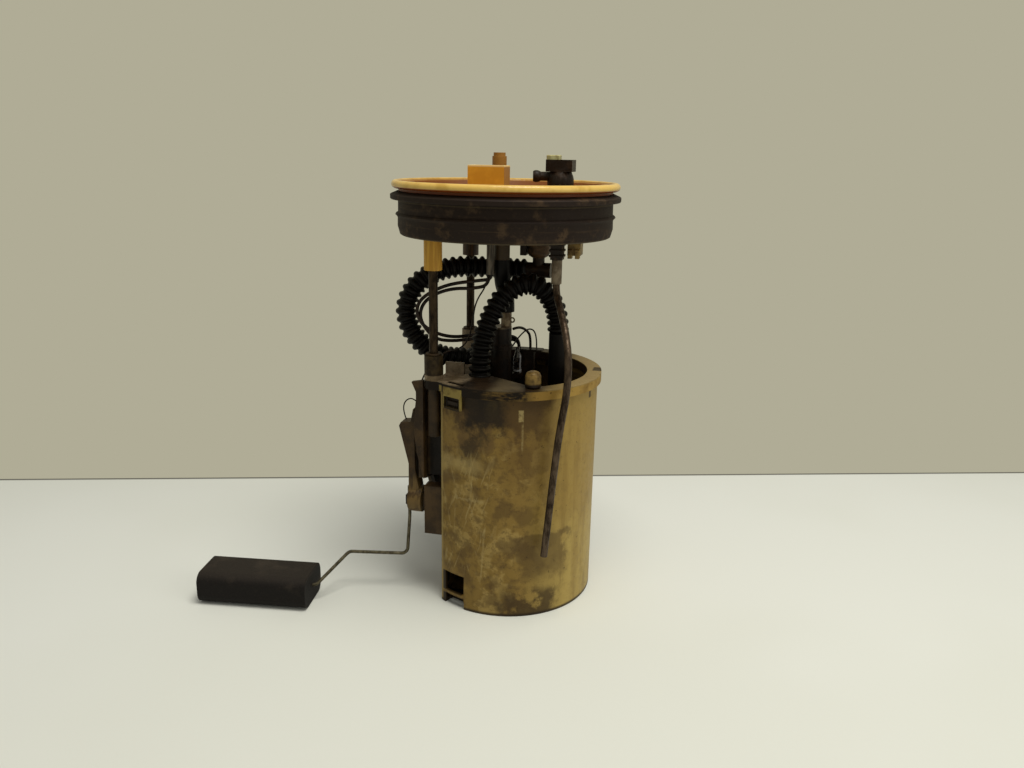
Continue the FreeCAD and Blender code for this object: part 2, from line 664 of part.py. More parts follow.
# Seal: a rubber ring with a wide lip under the rim and a small barb
seal_low = d.flange_face - d.seal_drop
seal_lip_low = d.flange_face - d.seal_lip_height
seal_bore = skirt_radius + d.run_gap
seal_waist = skirt_radius + d.seal_waist
seal_lip = skirt_radius + d.seal_lip
seal_top = d.flange_face - d.run_gap
piece("seal_ring", turned(
    [(seal_bore, seal_low), (skirt_radius + d.seal_foot, seal_low), (seal_waist + 0.4, seal_low + 5),
     (seal_waist + 0.3, seal_low + 9.6), (skirt_radius + d.seal_barb, seal_low + 11.2), (seal_waist, seal_low + 12.8),
     (seal_waist, seal_lip_low), (seal_lip, seal_lip_low), (seal_lip, seal_lip_low + 2.6),
     (flange_neck + 0.6, seal_top), (seal_bore, seal_top)],
    (-d.flange_shift, 0, 0)))

# Small sealing rings in the outlet spigot's grooves
o_rings = doc.addObject("Part::Compound", "o_rings")
o_rings.Links = [solid("Torus", (d.outlet_x, d.outlet_y, height),
                       Radius1=d.outlet_radius - d.ring_radius, Radius2=d.ring_radius - 0.02)
                 for height in ring_heights]
piece("connector_seals", o_rings)

# Quick connector: a swivelling elbow on the outlet spigot, with a hose barb and a release button
head_low = d.flange_face + d.elbow_top
head_top = head_low + d.head_rise
elbow_body = turned(
    [(0, plate_top + 0.3), (d.elbow_radius - 1.3, plate_top + 0.3), (d.elbow_radius - 0.9, plate_top + 2.5),
     (d.elbow_radius, plate_top + 5), (d.elbow_radius, head_low), (0, head_low)],
    (d.outlet_x, d.outlet_y, 0))
head = block(d.head_length, d.head_depth, d.head_rise,
             (d.outlet_x - d.head_length / 2, d.outlet_y - d.head_depth / 2, head_low))
barb_turn = FreeCAD.Rotation(FreeCAD.Vector(0, 0, 1), 12).multiply(TOWARDS_FLAT)
barb_at = (d.outlet_x, d.outlet_y, d.flange_face + d.barb_lift)
barb = fuse(
    rod(d.barb_radius, d.barb_reach, barb_at, barb_turn),
    *[solid("Cone", (d.outlet_x - (d.barb_reach - step) * 0.978, d.outlet_y - (d.barb_reach - step) * 0.208,
                     d.flange_face + d.barb_lift),
            barb_turn.multiply(FreeCAD.Rotation(FreeCAD.Vector(1, 0, 0), 0)),
            Radius1=d.barb_radius + 0.6, Radius2=d.barb_radius, Height=1.8)
      for step in (2.2, 5.0)],
)
button_left = d.outlet_x - d.button_shift - d.button_size / 2
button_front = d.outlet_y - d.button_size / 2
pocket_depth = d.button_depth + d.button_travel + 0.3
pocket = block(d.button_size + 0.6, d.button_size + 0.6, pocket_depth + 1,
               (button_left - 0.3, button_front - 0.3, head_top - pocket_depth))
elbow_bore = rod(d.outlet_radius + d.run_gap, d.outlet_rise + 0.8, (d.outlet_x, d.outlet_y, plate_top))
barb_bore = rod(d.barb_radius - 1, d.barb_reach + 1, barb_at, barb_turn)
bored_elbow = cut(fuse(elbow_body, head, barb), elbow_bore, barb_bore)
bored_elbow.Refine = False
piece("quick_connector", cut(bored_elbow, pocket)).Refine = False
piece("release_button", block(
    d.button_size, d.button_size, d.button_rise + d.button_depth,
    (button_left, button_front, head_top - d.button_depth)))
spring_at = (d.outlet_x - d.button_shift, d.outlet_y, head_top - pocket_depth + 0.25)
coil = Part.makeHelix(0.55, value(d.button_travel) - 0.3, 1.9)
coil_section = Part.Wire([Part.makeCircle(0.2, FreeCAD.Vector(1.9, 0, 0), FreeCAD.Vector(0, 1, 0))])
button_spring = shaped(Part.Wire(coil.Edges).makePipeShell([coil_section], True, True))
piece("button_spring", place(button_spring, spring_at))

# Valves and fittings that hang under the flange
block_length = d.drum_x - d.drum_radius - d.block_left - 0.1
piece("valve_block", block(block_length, d.block_depth, plate_low - d.block_low,
                           (d.block_left, d.drum_y - d.block_depth / 2, d.block_low)))
drum = turned(
    [(0, drum_low), (d.drum_radius * 0.55, drum_low + 0.2), (d.drum_radius * 0.88, drum_low + d.drum_dome * 0.5),
     (d.drum_radius, drum_low + d.drum_dome), (d.drum_radius, plate_low), (0, plate_low)],
    (d.drum_x, d.drum_y, 0))
elbow_drop = drum_low - cuff_height
cuff_top = rod(d.cuff_radius * 0.8, elbow_drop + 2, (d.drum_x, d.drum_y, cuff_height))
piece("relief_valve", cut(drum, rod(d.cuff_radius * 0.8, elbow_drop + 2, (d.drum_x, d.drum_y, cuff_height))))
cuff = fuse(
    rod(d.cuff_radius, d.cuff_right - d.cuff_left, (d.cuff_left, d.drum_y, cuff_height), ALONG_X),
    rod(d.hose_bore - d.run_gap, d.cuff_left + 1.5, (-1.5, d.drum_y, cuff_height), ALONG_X),
    cuff_top,
)
piece("feed_elbow", cuff)
pickup_boss = block(d.boss_size, d.boss_size, plate_low - d.boss_low,
                    (d.pickup_x - d.boss_size / 2, -d.pickup_y - d.boss_size / 2, d.boss_low))
boss_ribs = [block(d.boss_size + 1.2, d.boss_size + 1.2, 1.2,
                   (d.pickup_x - d.boss_size / 2 - 0.6, -d.pickup_y - d.boss_size / 2 - 0.6, d.boss_low + step))
             for step in (1.5, 4.5, 7.5)]
boss_hole = rod(d.pickup_radius, d.pickup_top - d.boss_low + 1, (d.pickup_x, -d.pickup_y, d.boss_low - 1))
piece("pickup_boss", cut(fuse(pickup_boss, *boss_ribs), boss_hole))
lug = block(d.lug_length, d.lug_depth, plate_low - d.lug_low, (d.lug_left, -d.lug_front, d.lug_low))
lug_pads = [block(2.4, 4, 5, (d.lug_left + step, -d.lug_front - 1.6, d.lug_low - 1.5)) for step in (0.4, 4.6)]
piece("lugged_fitting", fuse(lug, *lug_pads))

# Pick-up tube: thin steel tube bent clear of the lid and led down outside the canister
pickup_route = [
    (d.pickup_x, -d.pickup_y, d.pickup_top), (d.pickup_x, -d.pickup_y, d.pickup_bend),
    (31.6, -21.4, 177.6), (37.2, -34.0, 166.8), (40.4, -42.4, 156.5), (41.2, -45.3, 146.0),
    (40.6, -45.3, 134.5), (37.4, -46.8, 111.0), (35.3, -47.4, 86.7), (31.7, -48.7, 40.9),
]
piece("pickup_tube", shaped(tube(pickup_route, d.pickup_radius, d.pickup_radius - d.pickup_wall)))
piece("pickup_sleeve", cut(
    rod(d.pickup_radius + d.sleeve_wall, d.boss_low - d.sleeve_low, (d.pickup_x, -d.pickup_y, d.sleeve_low)),
    rod(d.pickup_radius, d.boss_low - d.sleeve_low + 2, (d.pickup_x, -d.pickup_y, d.sleeve_low - 1))))

# Feed hose: corrugated, from the feed elbow round the left side to the pump's nipple
feed_route = [
    (d.cuff_left, d.drum_y, cuff_height), (-6.0, d.drum_y, cuff_height), (-21.5, 7.4, cuff_height + 1.2),
    (-38.0, 1.0, cuff_height + 1.2), (-52.5, -5.6, 188.5), (-60.4, -9.6, 178.0), (-62.3, -11.0, 166.0),
    (-56.5, -10.2, 152.0), (-42.0, -4.0, d.can_height + 8.5),
    (-d.feed_x, d.feed_y, d.can_height + 7.6), (-d.feed_x, d.feed_y, cover_top + 8),
]
piece("feed_hose", shaped(tube(feed_route, d.hose_radius, d.hose_bore)))

# Arched hose: corrugated, from the jet pump's spigot up and over to a smooth cuff on the other spigot
jet_route = [
    (-d.jet_x, -d.jet_y, cover_top + 2), (-d.jet_x, -d.jet_y, 126.0), (-13.4, -23.2, 151.0), (-9.6, -18.6, 168.0),
    (-1.6, -12.0, 183.4), (12.0, -6.6, 189.4), (22.4, -2.6, 181.0), (d.return_x - 0.4, 0, 168.6),
    (d.return_x - 0.4, 0, d.sleeve_hose_top - 4),
]
piece("arched_hose", shaped(tube(jet_route, d.hose_radius, d.hose_bore)))
cuff_route_top = d.sleeve_hose_top - 4
piece("arched_hose_cuff", cut(
    rod(d.sleeve_hose_radius, cuff_route_top - cover_top - 1, (d.return_x - 0.4, 0, cover_top + 1)),
    rod(d.hose_bore, cuff_route_top - cover_top + 2, (d.return_x - 0.4, 0, cover_top - 1))))

# Return hose: smooth, from the flange's stub to the tower's spigot
spigot_x = d.tower_shift - d.pump_x
drain_route = [
    (-d.stub_x, -d.stub_y, d.stub_low), (-d.stub_x, -d.stub_y, 188.0), (spigot_x, d.pump_y, 179.0),
    (spigot_x, d.pump_y, 169.0),
]
piece("return_hose", shaped(tube(drain_route, d.drain_radius, d.drain_bore)))

# Wiring: a bundle under the flange, two power wires in a loop, and thin sender wires
loom_at = (-11.6, -7.8)
piece("lead_bundle", rod(d.loom_radius, plate_low - loom_low, (*loom_at, loom_low)))
power_routes = [
    [(-11.0, -7.8, loom_low - 0.2), (-11.0, -7.8, 189.2), (-19.0, -8.8, 188.2), (-34.4, -9.8, 185.8),
     (-45.0, -12.4, 181.4),
     (-51.6, -16.6, 176.0), (-53.0, -17.6, 169.0), (-50.0, -16.4, 162.0), (-43.0, -12.6, 156.6), (-34.0, -8.6, 154.0),
     (-24.0, -3.0, 154.6), (-17.4, 9.0, 154.4), (-9.0, 17.6, 151.4), (0.0, 20.4, 150.0),
     (0.0, 20.4, d.plug_block_top + 0.3)],
    [(-12.6, -6.4, loom_low - 0.2), (-12.6, -6.4, 185.4), (-22.0, -8.0, 183.4), (-33.4, -8.8, 183.0),
     (-43.0, -11.4, 180.0),
     (-49.4, -15.0, 175.0), (-51.6, -16.2, 167.6), (-49.0, -15.0, 160.0), (-43.4, -11.4, 152.8), (-35.0, -7.4, 151.4),
     (-25.6, -1.6, 151.8), (-18.6, 10.0, 151.6), (-9.6, 20.2, 148.4), (-0.6, 22.8, 148.0),
     (-0.6, 22.8, d.plug_block_top + 0.3)],
]
piece("power_wires", shaped(*[tube(route, d.power_wire) for route in power_routes]))
sender_route = [
    (-12.6, -9.4, loom_low - 0.2), (-12.8, -9.9, 186.4), (-18.9, -12.5, 176.8), (-19.9, -14.7, d.can_height + 35),
    (-21.4, -17.6, d.can_height + 24), (-26.4, -21.0, d.can_height + 18.8), (-32.6, -25.4, d.can_height + 18.6),
    (-38.4, -30.2, d.can_height + 13.4), (-42.6, -33.6, d.can_height + 7.4), (-44.3, -35.6, d.can_height + 1.6),
]
piece("sender_wires", shaped(tube(sender_route, d.signal_wire)))

# Float sender: a carrier on the canister's flat side, the housing with its card, and the pivot
carrier_edge = d.rod_spacing / 2 - 4.5
carrier_low = d.can_height - d.carrier_inset - d.carrier_height
carrier_plate = block(d.carrier_wall, carrier_edge * 2, d.carrier_height,
                      (-d.flat_offset - d.carrier_wall, -carrier_edge, carrier_low))
carrier_window = block(d.carrier_wall * 3, 20, 40, (-d.flat_offset - d.carrier_wall * 2, -6, carrier_low + 34))
brackets = []
for front in (-carrier_edge - d.bracket_width, carrier_edge):
    brackets.append(block(d.bracket_reach, d.bracket_width, d.bracket_rise,
                          (-d.flat_offset - d.bracket_reach, front, carrier_low)))
pivot_boss = rod(4.5, d.hub_right - d.fit_gap - d.flat_offset - 1,
                 (-d.flat_offset - 1, -pivot_y, pivot_height), TOWARDS_FLAT)
posts = [block(d.housing_back - d.flat_offset - 1, width, 50, (-d.housing_back, y, d.can_height - 55))
         for y, width in ((1 - carrier_edge, 5), (8, 4))]
pin_hole = rod(d.pin_radius, d.hub_left - d.flat_offset, (-d.flat_offset - 4, -pivot_y, pivot_height), TOWARDS_FLAT)
piece("sender_carrier", cut(
    fuse(cut(carrier_plate, carrier_window), pivot_boss, *brackets, *posts), pin_hole))

housing_front = d.rod_spacing / 2 + 2.5
housing_plate = raised(
    "YZ_Plane",
    [(-housing_front, d.can_height - 55), (-22, d.can_height - 59), (-14, d.can_height - 74), (15, d.can_height - 74),
     (15, d.can_height - 19), (-14, d.can_height), (-housing_front, d.can_height)],
    d.housing_wall, (-d.housing_back - d.housing_wall, 0, 0))
housing_corner = raised(
    "XZ_Plane",
    [(-d.housing_back - 5.2, d.can_height - 35.3), (-d.housing_back - 5.2, d.can_height - 57),
     (0.6 - d.housing_back, d.can_height - 57)],
    3.4, (0, 3.2 - housing_front, 0))
housing_edge = raised(
    "XZ_Plane",
    [(-d.housing_back, d.can_height + 4.2), (-48.5, d.can_height + 2.9), (-45.6, d.can_height - 3.7),
     (-46.1, d.can_height - 8.1), (-47.5, d.can_height - 19.5), (-47.3, d.can_height - 28.4),
     (-45.9, d.can_height - 39.2), (-43.8, d.can_height - 48.7), (-d.housing_back, d.can_height - 55)],
    2.8, (0, 2.8 - housing_front, 0))
piece("sender_housing", fuse(cut(housing_plate, housing_corner), housing_edge))
card_front = -d.housing_back - d.housing_wall - d.card_wall
card_disc = cut(
    rod(46, d.card_wall, (card_front, -pivot_y, pivot_height), ALONG_X),
    rod(30, d.card_wall * 3, (card_front - d.card_wall, -pivot_y, pivot_height), ALONG_X))
piece("ceramic_card", common(card_disc, block(d.card_wall, 50, 49, (card_front, -pivot_y - 4, pivot_height - 1.5))))

pin_left = d.hub_left
piece("pivot_pin", rod(d.pin_radius, pin_left - d.flat_offset - 4,
                       (-d.flat_offset - 4, -pivot_y, pivot_height), TOWARDS_FLAT))
hub = rod(d.hub_radius, d.hub_left - d.hub_right, (-d.hub_right, -pivot_y, pivot_height), TOWARDS_FLAT)
lever = raised(
    "XZ_Plane",
    [(6.2 - d.hub_left, pivot_height + 1.5), (6.2 - d.hub_left, pivot_height + 8.5),
     (-d.lever_back, pivot_height + 19.5), (-d.lever_back, pivot_height + 56.5),
     (-d.lever_back - 0.8, pivot_height + 56.5), (-50.6, pivot_height + 48.8), (-52.5, pivot_height + 48.2),
     (-56.6, pivot_height + 47.8), (-57.7, pivot_height + 45.6), (-d.hub_left + 0.2, pivot_height + 22.8),
     (-d.hub_left, pivot_height + 8.5), (-d.hub_left, pivot_height + 1.5)],
    d.lever_width, (0, d.lever_width / 2 - pivot_y, 0))
hub_bore = rod(d.pin_radius + d.run_gap, d.hub_left - d.hub_right + 2,
               (-d.hub_right + 1, -pivot_y, pivot_height), TOWARDS_FLAT)
piece("wiper_holder", cut(fuse(hub, lever), hub_bore))
finger_reach = d.fit_gap - card_front
fingers = doc.addObject("Part::Compound", "fingers")
fingers.Links = [block(d.lever_back - finger_reach, 1.2, 0.6,
                       (-d.lever_back, y - pivot_y, pivot_height + d.contact_radius))
                 for y in (-3.2, 2.0)]
piece("wiper_contacts", fingers)

# Lead of the wiper: a thin loop from the lever's tip to the housing's top
lead_route = [
    (-54.6, -pivot_y, pivot_height + 48.5), (-55.4, -pivot_y - 0.5, pivot_height + 50.9),
    (-56.2, -pivot_y - 0.7, pivot_height + 56.1), (-54.8, -pivot_y - 0.4, pivot_height + 59.9),
    (-51.8, -pivot_y + 0.3, pivot_height + 61.5), (-49.0, -pivot_y + 0.7, pivot_height + 60.1),
    (-46.2, -pivot_y + 0.9, pivot_height + 58.1),
]
piece("wiper_lead", shaped(tube(lead_route, d.signal_wire * 0.8)))

# Float arm: one bent wire, clipped to the hub, whose end runs through the float
turn = math.radians(value(d.float_turn))
float_axis = FreeCAD.Vector(-math.cos(turn), -math.sin(turn), 0)
arm_entry = vector(-d.arm_end_x, -d.arm_end_y, d.float_middle)
arm_tip = arm_entry + float_axis * (value(d.float_length) + 5)
arm_x = d.hub_left + d.arm_radius + 0.1
arm_route = [
    (-arm_x, -pivot_y, pivot_height + 7), (-arm_x, -pivot_y, pivot_height * 0.8), (-55.2, -33.1, 23.3),
    (-89.8, -40.7, 23.8), tuple(arm_entry), tuple(arm_tip),
]


def arm_wire(points, bend):
    """A wire with one bend radius."""
    corners = [vector(*point) for point in points]
    edges = []
    start = corners[0]
    for before, corner, after in zip(corners, corners[1:], corners[2:]):
        towards = (before - corner).normalize()
        onwards = (after - corner).normalize()
        half_turn = (math.pi - towards.getAngle(onwards)) / 2
        reach = bend * math.tan(half_turn)
        middle = corner + (towards + onwards).normalize() * (bend / math.cos(half_turn) - bend)
        first = corner + towards * reach
        last = corner + onwards * reach
        edges.append(Part.LineSegment(start, first).toShape())
        edges.append(Part.Arc(first, middle, last).toShape())
        start = last
    edges.append(Part.LineSegment(start, corners[-1]).toShape())
    spine = Part.Wire(edges)
    heading = edges[0].tangentAt(edges[0].FirstParameter)
    section = Part.Wire([Part.makeCircle(value(d.arm_radius), corners[0], heading)])
    return spine.makePipeShell([section], True, False)


piece("float_arm", shaped(arm_wire(arm_route, 4.0)))
clip_block = block(d.arm_radius * 2 + 0.7, 5, 6, (-arm_x - d.arm_radius - 0.6, -pivot_y - 2.5, pivot_height - 4))
piece("arm_clip", cut(
    clip_block,
    block(d.arm_radius * 2 + 1, d.arm_radius * 2 + 0.1, 8,
          (-arm_x - d.arm_radius - 0.05, -pivot_y - d.arm_radius - 0.05, pivot_height - 5))))

# Float: a foam block with rounded long edges, bored for the wire
float_body = doc.addObject("PartDesign::Body", "float_body")
float_pad = float_body.newObject("PartDesign::Pad", "float_pad")
float_pad.Profile = outline(float_body, "YZ_Plane", [
    (-d.float_width / 2, -d.float_height / 2 - 0.2), (d.float_width / 2, -d.float_height / 2 - 0.2),
    (d.float_width / 2, d.float_height / 2 - 0.2), (-d.float_width / 2, d.float_height / 2 - 0.2)])
bind(float_pad, "Length", d.float_length)
float_body.Tip = float_pad
doc.recompute()
long_edges = [f"Edge{index}" for index, edge in enumerate(float_pad.Shape.Edges, 1)
              if abs(edge.tangentAt(edge.FirstParameter).x) > 0.9]
float_round = float_body.newObject("PartDesign::Fillet", "float_round")
float_round.Base = (float_pad, long_edges)
bind(float_round, "Radius", d.float_edge)
float_body.Tip = float_round
float_bore = rod(d.arm_radius + d.run_gap, d.float_length * 2, (-d.float_length / 2, 0, 0), ALONG_X)
float_cut = cut(float_body, float_bore)
float_cut.Placement = FreeCAD.Placement(
    arm_entry + float_axis * (value(d.float_length) + 2),
    FreeCAD.Rotation(FreeCAD.Vector(0, 0, 1), value(d.float_turn)))
piece("float", float_cut)

# Inner cover of the canister, with the spigots of the arched hose and posts for the small fittings
jet_at = (-d.jet_x, -d.jet_y)
return_at = (d.return_x - 0.4, 0)
inner = trimmed_disc(can_bore - d.fit_gap, flat_bore - d.fit_gap, d.cover_height, d.cover_low)
spigots = [rod(d.hose_bore, d.spigot_rise, (*at, cover_top)) for at in (jet_at, return_at)]
plug_post = block(d.plug_block_length - 2.6, d.plug_block_depth - 1, d.plug_block_low - cover_top,
                  (1.3 - d.plug_block_left, d.plug_block_front + 0.5, cover_top))
cover_holes = [rod(d.neck_radius + d.fit_gap, d.cover_height * 3, (*pump_at, d.cover_low - d.cover_height)),
               rod(d.hose_bore + d.fit_gap, d.cover_height * 3, (-d.feed_x, d.feed_y, d.cover_low - d.cover_height))]
cover_holes += [rod(d.vent_bore, d.spigot_rise * 2, (*at, d.cover_low - 1)) for at in (jet_at, return_at)]
piece("inner_cover", cut(
    fuse(cut(inner, cover_holes[0]), *spigots, plug_post), *cover_holes[1:]))

# Pump connector with a small shelf for the clear nozzle, its short cables and the nozzle
piece("pump_connector", fuse(
    block(d.plug_block_length, d.plug_block_depth, d.plug_block_top - d.plug_block_low - 1.4,
          (-d.plug_block_left, d.plug_block_front, d.plug_block_low)),
    block(d.plug_block_length + 5, d.plug_block_depth + 1, 1.4,
          (-d.plug_block_left, d.plug_block_front, d.plug_block_top - 1.4)),
    block(d.nozzle_radius * 2, d.plug_block_front + d.nozzle_radius - d.nozzle_y, 3,
          (d.nozzle_x - d.nozzle_radius, d.nozzle_y - d.nozzle_radius, d.nozzle_low - 3))))
cable_routes = [
    [(-0.9, 6.8, 158.0), (2.0, 10.6, 159.0), (5.6, 16.6, 155.6), (7.0, 21.0, 151.0),
     (7.0, 21.0, d.plug_block_top + 0.3)],
    [(-1.5, 8.6, 147.0), (1.0, 11.6, 152.0), (6.6, 17.8, 157.4), (10.6, 22.4, 153.0),
     (10.6, 22.4, d.plug_block_top + 0.3)],
]
piece("pump_cables", shaped(tube(cable_routes[0], d.signal_wire * 1.6), tube(cable_routes[1], d.signal_wire)))
nozzle_profile = [
    (0, 0), (d.nozzle_radius - 0.5, 0), (d.nozzle_radius, 1.2), (d.nozzle_radius, d.nozzle_height * 0.6),
    (d.nozzle_radius * 0.45, d.nozzle_height * 0.85), (d.nozzle_radius * 0.45, d.nozzle_height), (0, d.nozzle_height)]
piece("clear_nozzle", turned(nozzle_profile, (d.nozzle_x, d.nozzle_y, d.nozzle_low)))

# Pump: steel case, top cover with the feed nipple, inlet cover, and the tower on its neck
pump_top = d.pump_low + d.pump_height
case_bore = d.pump_radius - d.pump_case_wall
piece("pump_case", cut(
    rod(d.pump_radius, d.pump_height, (*pump_at, d.pump_low)),
    rod(case_bore, d.pump_height + 2, (*pump_at, d.pump_low - 1))))
bush_high = pump_top - 6
top_cover = fuse(
    rod(case_bore, 6, (*pump_at, bush_high)),
    rod(d.neck_radius, d.neck_top - pump_top, (*pump_at, pump_top)),
    rod(d.hose_bore, d.feed_top - pump_top, (-d.feed_x, d.feed_y, pump_top)),
)
brush_slot = [(sign * (d.commutator_radius + 2.6), sign) for sign in (-1, 1)]
brush_height = 4.0
brush_low = bush_high - brush_height
holders = [block(9, 7, brush_height + 0.5, (shift - d.pump_x - 4.5, d.pump_y - 3.5, bush_high - brush_height - 0.5))
           for shift, _ in brush_slot]
slots = [block(11, 3, brush_height - 1, (shift - d.pump_x - 5.5, d.pump_y - 1.5, brush_low))
         for shift, _ in brush_slot]
piece("pump_top_cover", cut(
    fuse(top_cover, *holders), *slots,
    rod(d.commutator_radius + 0.4, brush_height + 1, (*pump_at, bush_high - brush_height - 1)),
    rod(d.bush_radius, d.bush_height, (*pump_at, bush_high)),
    rod(d.vent_bore, d.feed_top - bush_high + 2, (-d.feed_x, d.feed_y, bush_high - 1))))
brushes = doc.addObject("Part::Compound", "brushes")
brushes.Links = [block(4, 2.9, brush_height - 1.1,
                       (d.commutator_radius + 0.1 - d.pump_x, d.pump_y - 1.45, brush_low + 0.05)),
                 block(4, 2.9, brush_height - 1.1,
                       (-d.commutator_radius - 4.1 - d.pump_x, d.pump_y - 1.45, brush_low + 0.05))]
piece("carbon_brushes", brushes)
brush_spring_shapes = []
for side in (-1, 1):
    wind = Part.makeHelix(0.9, 2.4, 0.9)
    wire_section = Part.Wire([Part.makeCircle(0.2, FreeCAD.Vector(0.9, 0, 0), FreeCAD.Vector(0, 1, 0))])
    spring = Part.Wire(wind.Edges).makePipeShell([wire_section], True, True)
    spring.rotate(FreeCAD.Vector(0, 0, 0), FreeCAD.Vector(0, 1, 0), 90)
    middle = value(brush_low) + (value(brush_height) - 1) / 2
    reach = side * (value(d.commutator_radius) + 4.3 + (0 if side > 0 else 2.4))
    spring.translate(FreeCAD.Vector(reach - value(d.pump_x), value(d.pump_y), middle))
    brush_spring_shapes.append(spring)
piece("brush_springs", shaped(*brush_spring_shapes))

inlet_cover = turned(
    [(0, d.inlet_cover_low), (d.pump_radius - 2, d.inlet_cover_low), (d.pump_radius, d.inlet_cover_low + 2),
     (d.pump_radius, d.pump_low), (case_bore, d.pump_low), (case_bore, d.pump_low + 4), (0, d.pump_low + 4)],
    (*pump_at, 0))
piece("pump_inlet_cover", cut(
    inlet_cover,
    rod(d.impeller_radius + 0.4, d.impeller_height + 0.6, (*pump_at, d.impeller_low - 0.3)),
    rod(d.bush_radius, d.bush_height, (*pump_at, d.pump_low + 4 - d.bush_height)),
    rod(d.shaft_radius + 0.5, 20, (*pump_at, d.impeller_low)),
    rod(3, 6, (-d.pump_x - 9, d.pump_y, d.inlet_cover_low - 1)),
    rod(2, 8, (9 - d.pump_x, d.pump_y, d.impeller_low + 2))))
bushes = doc.addObject("Part::Compound", "bushes")
bushes.Links = [cut(rod(d.bush_radius, d.bush_height, (*pump_at, low)),
                    rod(d.shaft_radius + d.run_gap, d.bush_height + 2, (*pump_at, low - 1)))
                for low in (bush_high, d.pump_low + 4 - d.bush_height)]
piece("shaft_bushes", bushes)
magnet_ring = cut(
    rod(case_bore - 0.05, d.magnet_height, (*pump_at, d.armature_low - 1)),
    rod(case_bore - d.magnet_wall, d.magnet_height + 2, (*pump_at, d.armature_low - 2)))
magnet_gap = block(d.pump_radius * 2, 8, d.magnet_height + 4,
                   (-d.pump_x - d.pump_radius, d.pump_y - 4, d.armature_low - 3))
piece("field_magnets", cut(magnet_ring, magnet_gap))

armature_top = d.armature_low + d.armature_height
commutator_low = bush_high - d.commutator_height - 0.5
core = cut(
    rod(d.armature_radius, d.armature_height, (*pump_at, d.armature_low)),
    rod(d.shaft_radius, d.armature_height + 2, (*pump_at, d.armature_low - 1)))
teeth = []
for index in range(8):
    slot = block(4, 1.6, d.armature_height + 2, (d.armature_radius - 3, -0.8, d.armature_low - 1))
    holder = doc.addObject("Part::Compound", "slot")
    holder.Links = [slot]
    teeth.append(place(holder, (*pump_at, 0), FreeCAD.Rotation(FreeCAD.Vector(0, 0, 1), 45 * index)))
piece("armature", cut(core, *teeth))
piece("motor_shaft", rod(d.shaft_radius, bush_high + 3 - d.impeller_low, (*pump_at, d.impeller_low)))
piece("commutator", cut(
    rod(d.commutator_radius, d.commutator_height, (*pump_at, commutator_low)),
    rod(d.shaft_radius, d.commutator_height + 2, (*pump_at, commutator_low - 1))))

impeller = doc.addObject("PartDesign::Body", "impeller_body")
disc = impeller.newObject("PartDesign::Pad", "disc")
disc_sketch = impeller.newObject("Sketcher::SketchObject", "disc_outline")
disc_sketch.AttachmentSupport = (origin_plane(impeller, "XY_Plane"), "")
disc_sketch.MapMode = "FlatFace"
for radius in (d.impeller_radius, d.shaft_radius):
    circle = disc_sketch.addGeometry(
        Part.Circle(FreeCAD.Vector(0, 0, 0), FreeCAD.Vector(0, 0, 1), value(radius)), False)
    disc_sketch.addConstraint(Sketcher.Constraint("Coincident", circle, 3, -1, 1))
    held = disc_sketch.addConstraint(Sketcher.Constraint("Radius", circle, value(radius)))
    disc_sketch.setExpression(f"Constraints[{held}]", radius.text)
disc.Profile = disc_sketch
bind(disc, "Length", d.impeller_height)
impeller.Tip = disc
doc.recompute()
gap_sketch = outline(impeller, "XY_Plane", [
    (d.impeller_radius - 2.4, -0.8), (d.impeller_radius + 1, -0.8), (d.impeller_radius + 1, 0.8),
    (d.impeller_radius - 2.4, 0.8)])
vane_gap = impeller.newObject("PartDesign::Pocket", "vane_gap")
vane_gap.Profile = gap_sketch
vane_gap.Type = "ThroughAll"
vane_gap.Midplane = True
impeller.Tip = vane_gap
doc.recompute()
vanes = impeller.newObject("PartDesign::PolarPattern", "vanes")
vanes.Originals = [vane_gap]
vanes.Axis = (next(item for item in impeller.Origin.OriginFeatures if item.Role == "Z_Axis"), [""])
vanes.Angle = 360
vanes.Occurrences = 24
impeller.Tip = vanes
piece("impeller", place(impeller, (*pump_at, d.impeller_low)))

# Regulator tower on the pump's neck: return spigot on top, check valve and its spring inside
tower = fuse(
    rod(d.tower_radius + 1.7, 5, (*pump_at, d.neck_top)),
    rod(d.tower_radius, d.tower_top - d.neck_top, (*pump_at, d.neck_top)),
    rod(d.tower_radius + 0.6, 3, (*pump_at, d.tower_top - 14)),
    rod(d.spigot_radius, d.spigot_top - d.tower_top, (spigot_x, d.pump_y, d.tower_top)),
    solid("Torus", (spigot_x + 3.6, d.pump_y, d.tower_top + 4), FreeCAD.Rotation(FreeCAD.Vector(1, 0, 0), 90),
          Radius1=1.3, Radius2=0.45))
piece("regulator_tower", cut(
    tower,
    rod(d.valve_bore, d.valve_height, (*pump_at, d.valve_low)),
    rod(d.valve_bore - 1.6, d.tower_top - d.neck_top - 4, (*pump_at, d.neck_top + 1)),
    rod(d.spigot_radius - 1.2, d.spigot_top - d.tower_top + 6, (spigot_x, d.pump_y, d.tower_top - 4))))
poppet_low = d.valve_low + 0.3
piece("check_valve_poppet", turned(
    [(0, 0), (1.6, 0), (d.valve_bore - 0.3, 2), (d.valve_bore - 0.3, d.poppet_height), (0, d.poppet_height)],
    (*pump_at, poppet_low)))
valve_wind = Part.makeHelix(2.2, value(d.valve_height) - value(d.poppet_height) - 1.6, 2.6)
valve_section = Part.Wire([Part.makeCircle(0.3, FreeCAD.Vector(2.6, 0, 0), FreeCAD.Vector(0, 1, 0))])
valve_spring = shaped(Part.Wire(valve_wind.Edges).makePipeShell([valve_section], True, True))
piece("check_valve_spring", place(valve_spring, (*pump_at, poppet_low + d.poppet_height + 0.35)))

